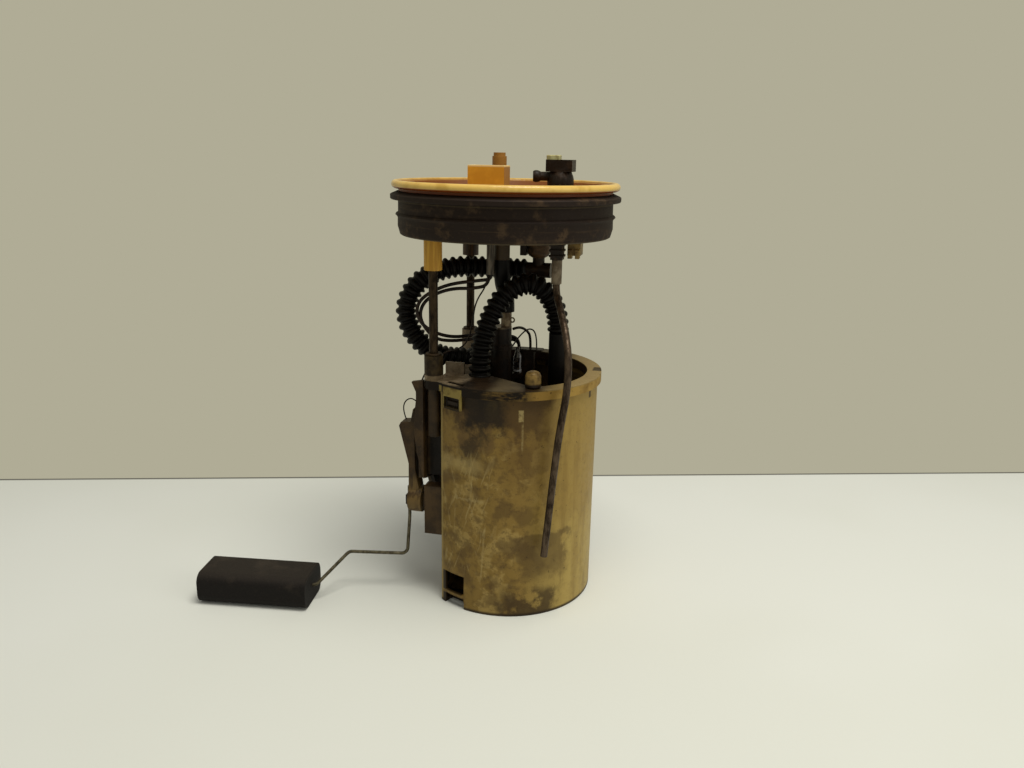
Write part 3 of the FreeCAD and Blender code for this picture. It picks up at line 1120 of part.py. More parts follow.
# Foot of the canister: pump seat, strainer, foot valve, and the jet pump with its riser
seat_outer = d.pump_radius + 2
piece("pump_seat", cut(
    rod(seat_outer, 6, (*pump_at, d.inlet_cover_low - 3)),
    rod(d.pump_radius + 0.1, 6, (*pump_at, d.inlet_cover_low)),
    rod(12.5, 10, (*pump_at, d.inlet_cover_low - 4))))
strainer_top = d.can_floor + 0.5 + d.strainer_height
strainer_low = d.can_floor + 0.5
strainer = fuse(
    block(d.strainer_length, d.strainer_width, d.strainer_height,
          (-d.pump_x - 17, d.pump_y - d.strainer_width / 2, strainer_low)),
    rod(11, d.inlet_cover_low - strainer_top, (*pump_at, strainer_top)))
piece("inlet_strainer", strainer)
piece("foot_valve", turned(
    [(0, d.can_floor), (d.foot_radius, d.can_floor), (d.foot_radius, d.can_floor + 1.2),
     (2.5, d.can_floor + 2), (2.5, d.can_floor + 3.4), (0, d.can_floor + 3.4)],
    (d.foot_x, -d.foot_y, 0)))
jet_body = fuse(
    block(16, 12, 10, (-d.jet_x - 8, -d.jet_y - 6, d.can_floor)),
    rod(d.hose_bore, d.cover_low - d.can_floor - 10, (*jet_at, d.can_floor + 10)))
piece("jet_pump", cut(
    jet_body,
    rod(d.vent_bore, d.cover_low, (*jet_at, d.can_floor + 4)),
    rod(d.vent_bore, 12, (-d.jet_x, -d.jet_y, d.can_floor + 5), ALONG_X)))

doc.recompute()
for thing in doc.Objects:
    if "Invalid" in thing.State or "Error" in thing.State:
        raise RuntimeError(f"{thing.Name} ({thing.Label}) failed: {thing.State}")
for thing in pieces:
    if thing.Shape.isNull() or not thing.Shape.isValid():
        raise RuntimeError(f"{thing.Label} has no valid shape")
for thing in pieces:
    thing.Shape.exportStep(f"parts/{thing.Label}.step")
print(len(pieces), "pieces written")
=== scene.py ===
import json
import math

import bmesh
import bpy
from mathutils import Matrix, Vector


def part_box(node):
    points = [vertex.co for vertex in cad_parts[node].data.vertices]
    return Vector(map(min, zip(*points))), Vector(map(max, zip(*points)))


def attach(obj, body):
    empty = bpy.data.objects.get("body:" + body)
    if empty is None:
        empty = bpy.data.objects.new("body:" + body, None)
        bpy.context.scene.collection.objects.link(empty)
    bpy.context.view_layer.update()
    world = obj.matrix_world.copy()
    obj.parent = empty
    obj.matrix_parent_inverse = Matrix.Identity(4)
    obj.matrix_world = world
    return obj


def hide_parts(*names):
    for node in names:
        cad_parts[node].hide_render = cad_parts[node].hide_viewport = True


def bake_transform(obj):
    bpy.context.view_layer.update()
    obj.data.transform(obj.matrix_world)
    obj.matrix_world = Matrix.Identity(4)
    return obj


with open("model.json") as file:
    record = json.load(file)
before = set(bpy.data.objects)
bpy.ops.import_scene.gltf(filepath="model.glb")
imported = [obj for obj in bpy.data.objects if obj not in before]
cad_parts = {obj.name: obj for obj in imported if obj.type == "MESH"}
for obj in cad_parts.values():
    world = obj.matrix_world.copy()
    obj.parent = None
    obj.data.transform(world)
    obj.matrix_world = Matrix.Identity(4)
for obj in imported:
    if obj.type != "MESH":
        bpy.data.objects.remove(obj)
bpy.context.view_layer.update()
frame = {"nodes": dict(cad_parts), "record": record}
nodes = frame["nodes"]
body_of_node = {
    node: body for body, names in frame["record"]["behaviour"]["bodies"].items() for node in names}


# Camera: a small camera held 64 cm in front of the wall, a little to the right of the pump and level with
# its flange, looking down at it and tipped by about a degree.
def placed(name, data):
    """A new object at the origin that shows the data."""
    item = bpy.data.objects.new(name, data)
    bpy.context.collection.objects.link(item)
    return item


camera_place = (0.10495, -0.46316, 0.2587)
heading, dip, roll = (math.radians(angle) for angle in (12.7, 15.63, 1.07))
camera_data = bpy.data.cameras.new("camera")
camera_data.sensor_width = 36
camera_data.lens = 28.953
camera_data.clip_start = 0.01
camera = placed("camera", camera_data)
turn = Matrix.Rotation(heading, 3, "Z") @ Matrix.Rotation(math.pi / 2 - dip, 3, "X") @ (
    Matrix.Rotation(roll, 3, "Z"))
camera.matrix_world = Matrix.Translation(camera_place) @ turn.to_4x4()
bpy.context.scene.camera = camera


# Canister: a cup moulded in natural acetal, yellowed by fuel. Brown varnish has dried on its upper half,
# handling has left pale scratches, and its foot is darkest along the lower edge.
class Tone:
    """A number or a colour inside a finish. Sums and products of tones add the nodes that work them out."""

    def __init__(self, finish, socket):
        self.finish = finish
        self.socket = socket

    def maths(self, operation, first, *others):
        """What a Math node makes of its inputs."""
        return self.finish.node("ShaderNodeMath", {"operation": operation}, (first,) + others)

    def __add__(self, other):
        return self.maths("ADD", self, other)

    def __radd__(self, other):
        return self.maths("ADD", other, self)

    def __sub__(self, other):
        return self.maths("SUBTRACT", self, other)

    def __rsub__(self, other):
        return self.maths("SUBTRACT", other, self)

    def __mul__(self, other):
        return self.maths("MULTIPLY", self, other)

    def __rmul__(self, other):
        return self.maths("MULTIPLY", other, self)

    def __abs__(self):
        return self.maths("ABSOLUTE", self)

    def __pow__(self, other):
        return self.maths("POWER", self, other)

    def rise(self, low, high):
        """0 below low, 1 above high and smooth between; low above high turns it round."""
        limits = {0: self, 1: low, 2: high, 3: 0.0, 4: 1.0}
        return self.finish.node("ShaderNodeMapRange", {"interpolation_type": "SMOOTHSTEP"}, limits)

    def near(self, middle, edge, core):
        """1 within core of the middle, 0 further away than edge and smooth between."""
        return abs(self - middle).rise(edge, core)

    def between(self, low, high, soft):
        """1 between low and high, fading out just inside them over soft."""
        return self.rise(low, low + soft) * self.rise(high, high - soft)

    def wander(self, size):
        """A pattern turned into a shift, by up to half the size either way."""
        return (self - 0.5) * size


class Finish:
    """A material, made of nodes that read the place of a point on the object."""

    def __init__(self, name):
        self.material = bpy.data.materials.new(name)
        self.material.use_nodes = True
        self.tree = self.material.node_tree
        self.shader = self.tree.nodes["Principled BSDF"]
        self.place = self.node("ShaderNodeTexCoord", output="Object")
        split = self.node("ShaderNodeSeparateXYZ", inputs=(self.place,)).socket.node
        self.x, self.y, self.z = (Tone(self, socket) for socket in split.outputs)

    def node(self, kind, settings=None, inputs=(), output=0):
        """Adds a node: its settings first, and then the values or links of its sockets."""
        made = self.tree.nodes.new(kind)
        for name, setting in (settings or {}).items():
            setattr(made, name, setting)
        for key, given in inputs.items() if isinstance(inputs, dict) else enumerate(inputs):
            if isinstance(given, Tone):
                self.tree.links.new(given.socket, made.inputs[key])
            else:
                made.inputs[key].default_value = given
        return Tone(self, made.outputs[output])

    def stretched(self, along_x, along_y, along_z, tilt=0.0):
        """The place, tipped about Y, with its three axes scaled."""
        scale = (1 / along_x, 1 / along_y, 1 / along_z)
        return self.node(
            "ShaderNodeMapping", {"vector_type": "TEXTURE"},
            {"Vector": self.place, "Rotation": (0.0, tilt, 0.0), "Scale": scale})

    def noise(self, size, detail=3.0, rough=0.55, place=None, bend=0.0):
        """A cloudy pattern whose blotches are about size metres across, mostly between 0.3 and 0.7."""
        return self.node("ShaderNodeTexNoise", inputs={
            "Vector": place or self.place, "Scale": 1 / size, "Detail": detail, "Roughness": rough,
            "Distortion": bend})

    def mix(self, first, second, share):
        """The first colour, and as much of the second as share says."""
        return self.node("ShaderNodeMix", {"data_type": "RGBA"}, {0: share, 6: first, 7: second}, 2)

    def cover(self, colour, roughness, height=None, depth=0.0002, shine=0.2):
        """Sets the surface: its colour, roughness, relief from a height pattern, and how much it mirrors."""
        self.shader.inputs["Specular IOR Level"].default_value = shine
        for name, given in (("Base Color", colour), ("Roughness", roughness)):
            if isinstance(given, Tone):
                self.tree.links.new(given.socket, self.shader.inputs[name])
            else:
                self.shader.inputs[name].default_value = given
        if height is not None:
            relief = self.node(
                "ShaderNodeBump", inputs={"Strength": 1.0, "Distance": depth, "Height": height})
            self.tree.links.new(relief.socket, self.shader.inputs["Normal"])
        return self.material


def paint(red, green, blue):
    """A colour given as it looks on a screen, from 0 to 255."""
    shares = [channel / 255 for channel in (red, green, blue)]
    linear = [share / 12.92 if share <= 0.04045 else ((share + 0.055) / 1.055) ** 2.4 for share in shares]
    return (*linear, 1.0)


def distance(across, along):
    """How far a point is from where both tones are 0."""
    return (across * across + along * along) ** 0.5


def dress(piece, material, body, *replaced, slot=None):
    """Gives a piece its material and the body it moves with, and hides the solids it stands for."""
    piece.data.materials.clear()
    piece.data.materials.append(material)
    if body:
        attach(piece, body)
    if replaced:
        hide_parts(*replaced)
    return piece


def keep(material, *names):
    """Shows solids as they are, with a material."""
    for name in names:
        nodes[name].data.materials.clear()
        nodes[name].data.materials.append(material)


join_within = 0.000004


def merged(name):
    """A copy of a solid's mesh whose loose triangles are joined."""
    shape = bmesh.new()
    shape.from_mesh(nodes[name].data)
    bmesh.ops.remove_doubles(shape, verts=shape.verts, dist=join_within)
    return shape


def eased(name, material, width=0.0004, segments=2, angle=32):
    """A solid's shape with its sharp edges rounded, as moulding and wear leave them."""
    shape = merged(name)
    bmesh.ops.dissolve_limit(
        shape, angle_limit=math.radians(0.6), use_dissolve_boundaries=False, verts=shape.verts,
        edges=shape.edges, delimit={"NORMAL"})
    mesh = bpy.data.meshes.new(f"{name}_eased")
    shape.to_mesh(mesh)
    shape.free()
    mesh.shade_smooth()
    piece = placed(f"{name}_eased", mesh)
    bevel = piece.modifiers.new("edges", "BEVEL")
    bevel.width = width
    bevel.segments = segments
    bevel.limit_method = "ANGLE"
    bevel.angle_limit = math.radians(angle)
    bevel.use_clamp_overlap = True
    piece.modifiers.new("normals", "WEIGHTED_NORMAL").keep_sharp = True
    return dress(piece, material, body_of_node[name], name)


def clip_eye(finish):
    """Where the eye of the front clip is, on the canister and on the lid's strap over it."""
    return finish.x.near(-0.0225, 0.0054, 0.0049) * finish.z.near(0.1252, 0.0042, 0.0038)


stained = Finish("stained_acetal")
cloud = stained.noise(0.034, 5, 0.6)
blotch = stained.noise(0.015, 6, 0.62)
soft = stained.noise(0.011, 3, 0.5)
fine = stained.noise(0.003, 4, 0.65)
runs = stained.noise(0.009, 4, 0.6, stained.stretched(1, 1, 0.12))
grain = stained.noise(0.0042, 6, 0.75)
swayed = stained.x + blotch.wander(0.024)
ragged = stained.z + cloud.wander(0.05) + blotch.wander(0.03) + grain.wander(0.02)

# The right side is the clean one, palest at its foot; the rest is blotched and muddy.
clean_side = (stained.x + cloud.wander(0.012)).rise(0.012, 0.042)
clean_tint = stained.mix(paint(154, 128, 64), paint(170, 146, 78), stained.z.rise(0.07, 0.04))
cream = stained.mix(paint(124, 99, 44), clean_tint, clean_side)
streaked = stained.mix(cream, paint(132, 106, 50), runs.rise(0.46, 0.62) * 0.55)
pale = stained.mix(streaked, paint(162, 138, 78), blotch.rise(0.50, 0.59) * (1 - clean_side) * 0.6)
muddy = stained.mix(pale, paint(84, 64, 30), soft.rise(0.48, 0.62) * (1 - clean_side * 0.85) * 0.65)
mottled = stained.mix(muddy, paint(80, 60, 28), grain.rise(0.49, 0.62) * (0.5 - clean_side * 0.36))

# A brown wash at the right of the middle, and a dark stain at its left with a pale swirl wiped through it.
wash = stained.x.between(0.002, 0.038, 0.010) * ragged.rise(0.066, 0.104)
washed = stained.mix(mottled, paint(90, 66, 27), wash * 0.5)
swirl_line = (stained.z - 0.098) * 0.66 + 0.0035
swirl = swayed.near(swirl_line, 0.0055, 0.0025) * stained.z.between(0.093, 0.119, 0.004)
stain_foot = (stained.z + cloud.wander(0.04) + blotch.wander(0.04)).rise(0.090, 0.101)
stain = stain_foot * swayed.near(-0.0095, 0.0135, 0.0085) * (1 - swirl)
stain_tint = stained.mix(paint(96, 74, 38), paint(48, 35, 17), blotch.rise(0.45, 0.57))
browned = stained.mix(washed, stain_tint, stain * (0.85 - blotch.rise(0.36, 0.30) * 0.7))

# Darker below the lid, almost black in the middle.
crown = ragged.rise(0.108, 0.121) * swayed.rise(0.036, 0.024)
crown_tint = stained.mix(paint(84, 62, 28), paint(56, 40, 18), soft)
crown_tint = stained.mix(crown_tint, paint(25, 17, 9), swayed.near(-0.003, 0.015, 0.009))
sooty = stained.mix(browned, crown_tint, crown * 0.9)

# A darker area under the pick-up tube's end, and a darker patch at the foot.
tube_patch_top = (stained.z + blotch.wander(0.01)).rise(0.0520, 0.0500)
tube_patch_foot = (stained.z + cloud.wander(0.04)).rise(0.020, 0.032)
tube_end_patch = (stained.x + blotch.wander(0.02)).near(0.029, 0.014, 0.0105) * tube_patch_top * tube_patch_foot
tube_end_darkened = stained.mix(sooty, paint(76, 57, 27), tube_end_patch * 0.62)
foot_patch = swayed.near(0.0235, 0.0175, 0.0115) * (
    (stained.z + cloud.wander(0.03)).rise(0.024, 0.014)) * blotch.rise(0.38, 0.5)
footed = stained.mix(tube_end_darkened, paint(58, 42, 19), foot_patch * 0.85)

# Scratches at the left in three directions, an arc that was rubbed pale, and a scrawl below it.
scratches = sum(
    stained.noise(size, 3, 0.6, stained.stretched(1, 0.12, 0.10, tilt), 0.5).rise(0.60, 0.69)
    for size, tilt in ((0.0024, 0.32), (0.0028, -0.22), (0.0034, 0.05)))
left_side = stained.x.rise(0.012, -0.006) * stained.z.rise(0.108, 0.085) * stained.z.rise(0.012, 0.03)
scratched = stained.mix(footed, paint(166, 146, 94), scratches * left_side * blotch.rise(0.34, 0.5) * 0.4)
arc = (stained.z + cloud.wander(0.02) + fine.wander(0.006)).near(0.0895, 0.0055, 0.0015)
rubbed = stained.mix(scratched, paint(162, 142, 88), arc * stained.x.rise(0.0, -0.008) * 0.45)
scrawl = (stained.z + fine.wander(0.008)).near(0.0705, 0.0011, 0.0003) * stained.x.near(-0.012, 0.012, 0.007)

# Small marks: a pale fleck with a drip below it, a painted highlight along the left corner, dark specks and
# painted shade in the side clip's catch.
fleck = stained.x.near(0.0169, 0.0016, 0.001) * stained.z.near(0.122, 0.0036, 0.003)
drip = stained.x.near(0.0178, 0.0007, 0.0003) * stained.z.near(0.110, 0.010, 0.006)
light_marks = scrawl * 0.4 + (fleck * 0.8 + drip * 0.4) * fine.rise(0.34, 0.56)
flecked = stained.mix(rubbed, paint(160, 142, 92), light_marks)
# Painted highlight along the left corner edge of the flat side.
corner = stained.x.rise(-0.0290, -0.0302) * stained.y.rise(-0.039, -0.0405)
corner_highlighted = stained.mix(flecked, paint(156, 136, 84), corner * 0.7)
specks = stained.noise(0.0019, 2, 0.5).rise(0.68, 0.76)
# Painted shade in the eye of the side clip's catch.
catch_shade = stained.y.near(-0.0141, 0.0016, 0.0010) * stained.z.near(0.1280, 0.0026, 0.0020) * (
    stained.x.rise(0.040, 0.044))
dotted = stained.mix(corner_highlighted, paint(46, 32, 15), specks * 0.6 + catch_shade * 0.85)

# Painted shade: the window at the foot, on both sides of its sill, and the clip's eye are painted dark inside.
front = stained.y.rise(-0.030, -0.032)
window_left, window_right, window_top = -0.0299, -0.0163, 0.0213
sill_foot, sill_top = 0.0068, 0.0082
window = stained.x.between(window_left, window_right, 0.0005) * stained.z.rise(window_top, window_top - 0.0005)
off_sill = stained.z.rise(sill_top, sill_top + 0.0006) + stained.z.rise(sill_foot, sill_foot - 0.0006)
shaded_hollows = stained.mix(dotted, paint(22, 14, 8), front * (window * off_sill + clip_eye(stained)) * 0.92)
lower_edge = stained.z.rise(0.0026, 0.0010)
canister_finish = stained.cover(
    stained.mix(shaded_hollows, paint(38, 28, 15), lower_edge * 0.9), 0.46 + fine.wander(0.35) + crown * 0.1,
    cloud * 0.4 + fine * 0.3 + soft * 0.3, 0.0003)
eased("canister", canister_finish, 0.0005, 3)

# Lid: the same acetal, snapped on by two clips. Its rim is ochre on the right and almost black where varnish
# has run down around the mouth, and its deck is grey with dirt, with painted shade under the hoses and the
# plug.
lid = Finish("lid_acetal")
cloud = lid.noise(0.014, 5, 0.6)
fine = lid.noise(0.0035, 4, 0.65)
ochre = lid.mix(paint(158, 128, 62), paint(130, 102, 46), cloud.rise(0.38, 0.62))
burnt = (lid.x + cloud.wander(0.03)).rise(0.032, 0.018)
flaked = cloud.rise(0.52, 0.58) * lid.x.rise(-0.006, 0.006)
rim = lid.mix(ochre, lid.mix(paint(22, 15, 8), paint(92, 72, 34), flaked * 0.8), burnt)
deck = lid.z.rise(0.1357, 0.1362)
grey_deck = lid.mix(paint(146, 130, 104), paint(100, 85, 62), cloud.rise(0.40, 0.62))
# Painted shade: the deck is dark where the hoses and the plug stand over it.
shaded_dark_deck = lid.mix(paint(44, 32, 20), paint(22, 14, 8), cloud.rise(0.40, 0.62))
deck_middle = lid.x.rise(-0.004, 0.003) * lid.x.rise(0.019, 0.014)
shaded_worn_deck = lid.mix(shaded_dark_deck, paint(100, 88, 64), deck_middle * cloud.rise(0.3, 0.6) * 0.75)
dusty_and_shaded_deck = lid.mix(shaded_worn_deck, grey_deck, (lid.x + cloud.wander(0.012)).rise(-0.0150, -0.0205))
deck_tint = lid.mix(dusty_and_shaded_deck, paint(142, 122, 78), lid.x.rise(0.024, 0.036))
decked = lid.mix(rim, deck_tint, deck * 0.9)
bosses = lid.z.rise(0.1385, 0.1392) * lid.x.rise(-0.022, -0.024) * lid.y.rise(-0.027, -0.029)
boss_tint = lid.mix(paint(52, 41, 22), paint(34, 25, 12), fine.rise(0.4, 0.6))
bossed = lid.mix(decked, boss_tint, bosses)
scrapes = lid.noise(0.0015, 3, 0.6, lid.stretched(0.12, 1, 1)).rise(0.52, 0.68) * (
    burnt * (1 - deck) * (1 - bosses) * lid.x.rise(-0.014, 0.004))
scraped = lid.mix(bossed, paint(104, 82, 42), scrapes * 0.6)
# Painted shade of a small notch in the rim, on its right.
notch_shade = lid.y.near(0.0096, 0.0046, 0.0038) * lid.x.rise(0.0472, 0.0480)
notched = lid.mix(scraped, paint(32, 21, 10), notch_shade * 0.85)
# Painted shade on the lid's faces inside its rim.
inner = distance(lid.x, lid.y).rise(0.0462, 0.0452) * (1 - deck)
inside = lid.mix(notched, paint(34, 18, 10), inner * 0.9)

# The front clip's strap comes down over the canister, and is paler than the rim beside it.
strap_band = lid.x.between(-0.0284, -0.0158, 0.0004)
strap_edge = lid.x.near(-0.0302, 0.0011, 0.0008)
strap = (strap_band + strap_edge) * lid.y.rise(-0.038, -0.040) * lid.z.rise(0.1350, 0.1342)
strap_tint = lid.mix(paint(132, 116, 62), paint(96, 80, 40), cloud.rise(0.44, 0.58))
strapped = lid.mix(inside, strap_tint, strap)
# Painted shade inside the clip's eye, on the strap.
clipped = lid.mix(strapped, paint(24, 15, 9), strap * clip_eye(lid) * 0.9)
lid_finish = lid.cover(
    lid.mix(clipped, paint(28, 18, 9), fine.rise(0.62, 0.70) * 0.55), 0.5 + fine.wander(0.4),
    cloud * 0.4 + fine * 0.5, 0.0003, 0.12)
eased("canister_lid", lid_finish, 0.0005, 3)

# Plug: a domed stopper of the same acetal, pushed into a hole in the lid. Its dome is fairly clean, and it is
# darker in a ring round its foot.
plug = Finish("plug_acetal")
cloud = plug.noise(0.004, 4)
ring = plug.z.rise(0.1398, 0.1384)
plug_finish = plug.cover(
    plug.mix(plug.mix(paint(122, 98, 50), paint(84, 65, 32), cloud.rise(0.4, 0.62)), paint(28, 17, 9), ring),
    0.4, cloud, 0.0002)
eased("lid_plug", plug_finish, 0.0005, 3, 24)

# Guide bushes and rods: brown plastic bushes pressed into the lid, and two steel rods that have gone brown
# and patchy in the fuel.
bush = Finish("bush_plastic")
cloud = bush.noise(0.008, 4)
streaks = bush.noise(0.002, 3, 0.5, bush.stretched(1, 1, 0.1))
bush_finish = bush.cover(
    bush.mix(paint(58, 43, 22), paint(26, 18, 9), cloud.rise(0.35, 0.65) * 0.7 + streaks * 0.3), 0.55,
    streaks * 0.5 + cloud * 0.5, 0.0002)
for name in ("rod_guide_front", "rod_guide_rear"):
    eased(name, bush_finish, 0.0003, 2)


def steel(name, light, dark, size=0.0022):
    """Bare steel, hammered and mottled by brown deposits."""
    made = Finish(name)
    flecks = made.noise(size, 4, 0.7, made.stretched(1, 1, 0.35))
    blotches = made.noise(size * 5, 3, 0.6, made.stretched(1, 1, 0.5))
    share = flecks.rise(0.36, 0.64) * 0.75 + blotches.rise(0.4, 0.62) * 0.25
    made.shader.inputs["Metallic"].default_value = 0.75
    return made.cover(made.mix(light, dark, share), 0.34 + share * 0.3, flecks, 0.0002)


rod_finish = steel("rod_steel", paint(60, 48, 34), paint(22, 15, 9))
keep(rod_finish, "guide_rod_front", "guide_rod_rear")

# Flange: a tray moulded in amber acetal with a rounded rim bead, a connector shroud, a vent nipple and
# sleeves for the rods. The bead has kept its pale yellow, and the tray inside it is deep orange with painted
# shade.
flange_axis = -0.005
bead_foot = 0.2385
shroud_top = 0.2517
skirt_foot = 0.236
amber = Finish("amber_acetal")
cloud = amber.noise(0.016, 4, 0.6)
fine = amber.noise(0.002, 4, 0.65)
streaks = amber.noise(0.0016, 3, 0.5, amber.stretched(1, 1, 0.07))
radius = distance(amber.x - flange_axis, amber.y)
bead = radius.rise(0.0588, 0.0600) * amber.z.rise(bead_foot, bead_foot + 0.0011)
bead_back = bead * radius.rise(0.0618, 0.0604) * amber.z.rise(0.2440, 0.2425)
# Painted shade: the tray inside the bead is darkened, most of all on its floor.
tray = amber.mix(paint(176, 108, 24), paint(142, 82, 14), cloud.rise(0.36, 0.66))
tray_floor_shade = radius.rise(0.0598, 0.0590) * amber.z.rise(0.2372, 0.2378)
tray = amber.mix(tray, paint(108, 58, 6), tray_floor_shade * 0.85)

# The shroud is orange and greyer on its right side, with a painted highlight along its top; the nipple is
# browner.
shroud = amber.x.near(-0.01525, 0.0110, 0.0107) * amber.y.near(0.001, 0.0075, 0.0072) * (
    amber.z.rise(0.2378, 0.2384))
shroud_tint = amber.mix(paint(226, 164, 42), paint(208, 146, 32), cloud.rise(0.4, 0.62))
boxed = amber.mix(tray, shroud_tint, shroud)
side_face = amber.x.rise(-0.0050, -0.0047) * amber.z.rise(shroud_top + 0.0001, shroud_top - 0.0003)
sided = amber.mix(boxed, paint(156, 110, 48), shroud * side_face * 0.85)
top_highlighted = amber.mix(sided, paint(240, 208, 134), shroud * amber.z.rise(shroud_top - 0.0005, shroud_top))
nipple = amber.y.near(0.0185, 0.0050, 0.0046) * amber.x.near(-0.0135, 0.0050, 0.0046)
vented = amber.mix(top_highlighted, paint(158, 114, 42), nipple * amber.z.rise(bead_foot, bead_foot + 0.001) * 0.8)

# Below the skirt the front sleeve is yellow, the rear one painted brown with shade, and the drain's stub
# almost black.
low = amber.z.rise(skirt_foot, skirt_foot - 0.0015)
front_sleeve = amber.mix(paint(196, 150, 54), paint(172, 126, 40), streaks.rise(0.35, 0.6))
shaded_rear_sleeve = amber.mix(paint(78, 54, 28), paint(42, 27, 14), streaks.rise(0.35, 0.6))
sleeve = amber.mix(front_sleeve, shaded_rear_sleeve, amber.y.rise(0.022, 0.026))
sleeved = amber.mix(vented, sleeve, low)
stub = amber.x.near(-0.0064, 0.0064, 0.0058) * amber.y.near(-0.0014, 0.0064, 0.0058) * low
stubbed = amber.mix(sleeved, paint(26, 17, 9), stub * 0.95)

# The bead is pale yellow, and the neck under it and its own inner side are painted deep orange as shade.
bead_tint = amber.mix(paint(216, 180, 94), paint(196, 158, 74), cloud.rise(0.44, 0.60))
rimmed = amber.mix(stubbed, bead_tint, bead)
neck = radius.rise(0.0552, 0.0562) * (
    radius.rise(0.0606, 0.0600) * amber.z.rise(0.2402, 0.2392)
    + radius.rise(0.0600, 0.0606) * amber.z.rise(0.2410, 0.2402))
shade_tint = amber.mix(paint(118, 54, 10), paint(126, 72, 8), bead_back)
shaded = amber.mix(rimmed, shade_tint, neck + bead_back * 0.8)
dirt = fine.rise(0.66, 0.74) * (1 - bead * 0.85)
amber.shader.inputs["Subsurface Weight"].default_value = 0.03
amber.shader.inputs["Subsurface Radius"].default_value = (0.003, 0.0015, 0.0006)
flange_finish = amber.cover(
    amber.mix(shaded, paint(52, 30, 12), dirt * 0.6), 0.52 + cloud.wander(0.25) - bead * 0.28,
    fine * (0.3 - bead * 0.25) + streaks * low * 0.7, 0.00015, 0.3)
eased("flange_plate", flange_finish, 0.0005, 3)


# Terminal blades: four flat tabs stamped from brass, tinned and dulled. They are moulded into the flange's
# floor and stand up inside the shroud.
def clouded(name, first, second, size, share, roughness, depth=0.0001, detail=3, rough=0.55, metallic=0.0):
    """A plain surface in two colours: the second lies in clouds, between the two levels given as share."""
    made = Finish(name)
    cloud = made.noise(size, detail, rough)
    made.shader.inputs["Metallic"].default_value = metallic
    return made.cover(made.mix(first, second, cloud.rise(*share)), roughness, cloud, depth)


brass_finish = clouded(
    "terminal_brass", paint(190, 164, 110), paint(132, 106, 62), 0.002, (0.35, 0.65), 0.38, metallic=0.9)
eased("terminal_blades", brass_finish, 0.00015, 2)

# Seal: a deep moulded ring of black rubber, stretched over the flange's skirt. Dust and dried fuel make it a
# patchy brown-grey, with faint level lines left by the tank's mouth.
seal_foot, seal_top = (corner[2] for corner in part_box("seal_ring"))
seal_bore = 0.05395
bead_height = 0.2326
seal = Finish("seal_rubber")
cloud = seal.noise(0.013, 5, 0.65)
fine = seal.noise(0.0016, 4, 0.7)
levels = seal.noise(0.0022, 3, 0.6, seal.stretched(0.06, 0.06, 1))
spots = seal.noise(0.005, 4, 0.6)
dust = cloud.rise(0.48, 0.66) * spots.rise(0.42, 0.6) * 0.6 + (
    levels.rise(0.54, 0.7) * 0.2 + fine.rise(0.56, 0.7) * 0.2)
powdered = seal.mix(paint(29, 18, 10), paint(82, 64, 43), dust)
# Painted highlights along the seal's lower edge and under its upper lip.
edge_highlights = seal.z.rise(seal_foot + 0.001, seal_foot + 0.0004) * 0.4 + (
    seal.z.near(bead_height, 0.0005, 0.0002) * 0.3)
seal_finish = seal.cover(
    seal.mix(powdered, paint(96, 84, 60), edge_highlights), 0.7 + cloud.wander(0.3), fine * 0.5 + levels * 0.4,
    0.0003, 0.2)


def revolved(profile, steps):
    """A shape turned about Z from points given as radius and height."""
    shape = bmesh.new()
    corners = [shape.verts.new((radius, 0, height)) for radius, height in profile]
    for first, second in zip(corners, corners[1:]):
        shape.edges.new((first, second))
    bmesh.ops.spin(
        shape, geom=shape.verts[:] + shape.edges[:], cent=(0, 0, 0), axis=(0, 0, 1), angle=math.tau,
        steps=steps, use_merge=True)
    bmesh.ops.remove_doubles(shape, verts=shape.verts, dist=join_within)
    return shape


def finished(name, shape, smooth=True):
    """Turns modelled geometry into a piece, with its faces outwards."""
    bmesh.ops.recalc_face_normals(shape, faces=shape.faces)
    mesh = bpy.data.meshes.new(name)
    shape.to_mesh(mesh)
    shape.free()
    if smooth:
        mesh.shade_smooth()
        mesh.set_sharp_from_angle(angle=math.radians(40))
    return placed(name, mesh)


seal_rings = revolved([
    (seal_bore, seal_foot), (0.0590, seal_foot), (0.0596, 0.2146), (0.0608, 0.2190), (0.0607, 0.2236),
    (0.0612, 0.2244), (0.0620, 0.2252), (0.0616, 0.2259), (0.0605, 0.2266), (0.0604, 0.2333),
    (0.0607, 0.2336), (0.0643, 0.2336), (0.0647, 0.2340), (0.06475, 0.2360), (0.0643, 0.2364),
    (0.0607, seal_top), (seal_bore, seal_top), (seal_bore, seal_foot)], 160)
bmesh.ops.translate(seal_rings, verts=seal_rings.verts, vec=(flange_axis, 0, 0))
dress(finished("seal", seal_rings), seal_finish, "flange", "seal_ring", slot="seal_rubber")


# Quick connector: a dark plastic elbow that swivels on the outlet, its barb to the left and a pale push
# button in its square head. Its barrel swells in the middle, and old fuel has left it brown and dull.
def settled(piece):
    """The mesh of a piece or a line once its modifiers and its roundness are worked out."""
    view = bpy.context.evaluated_depsgraph_get()
    return bpy.data.meshes.new_from_object(piece.evaluated_get(view))


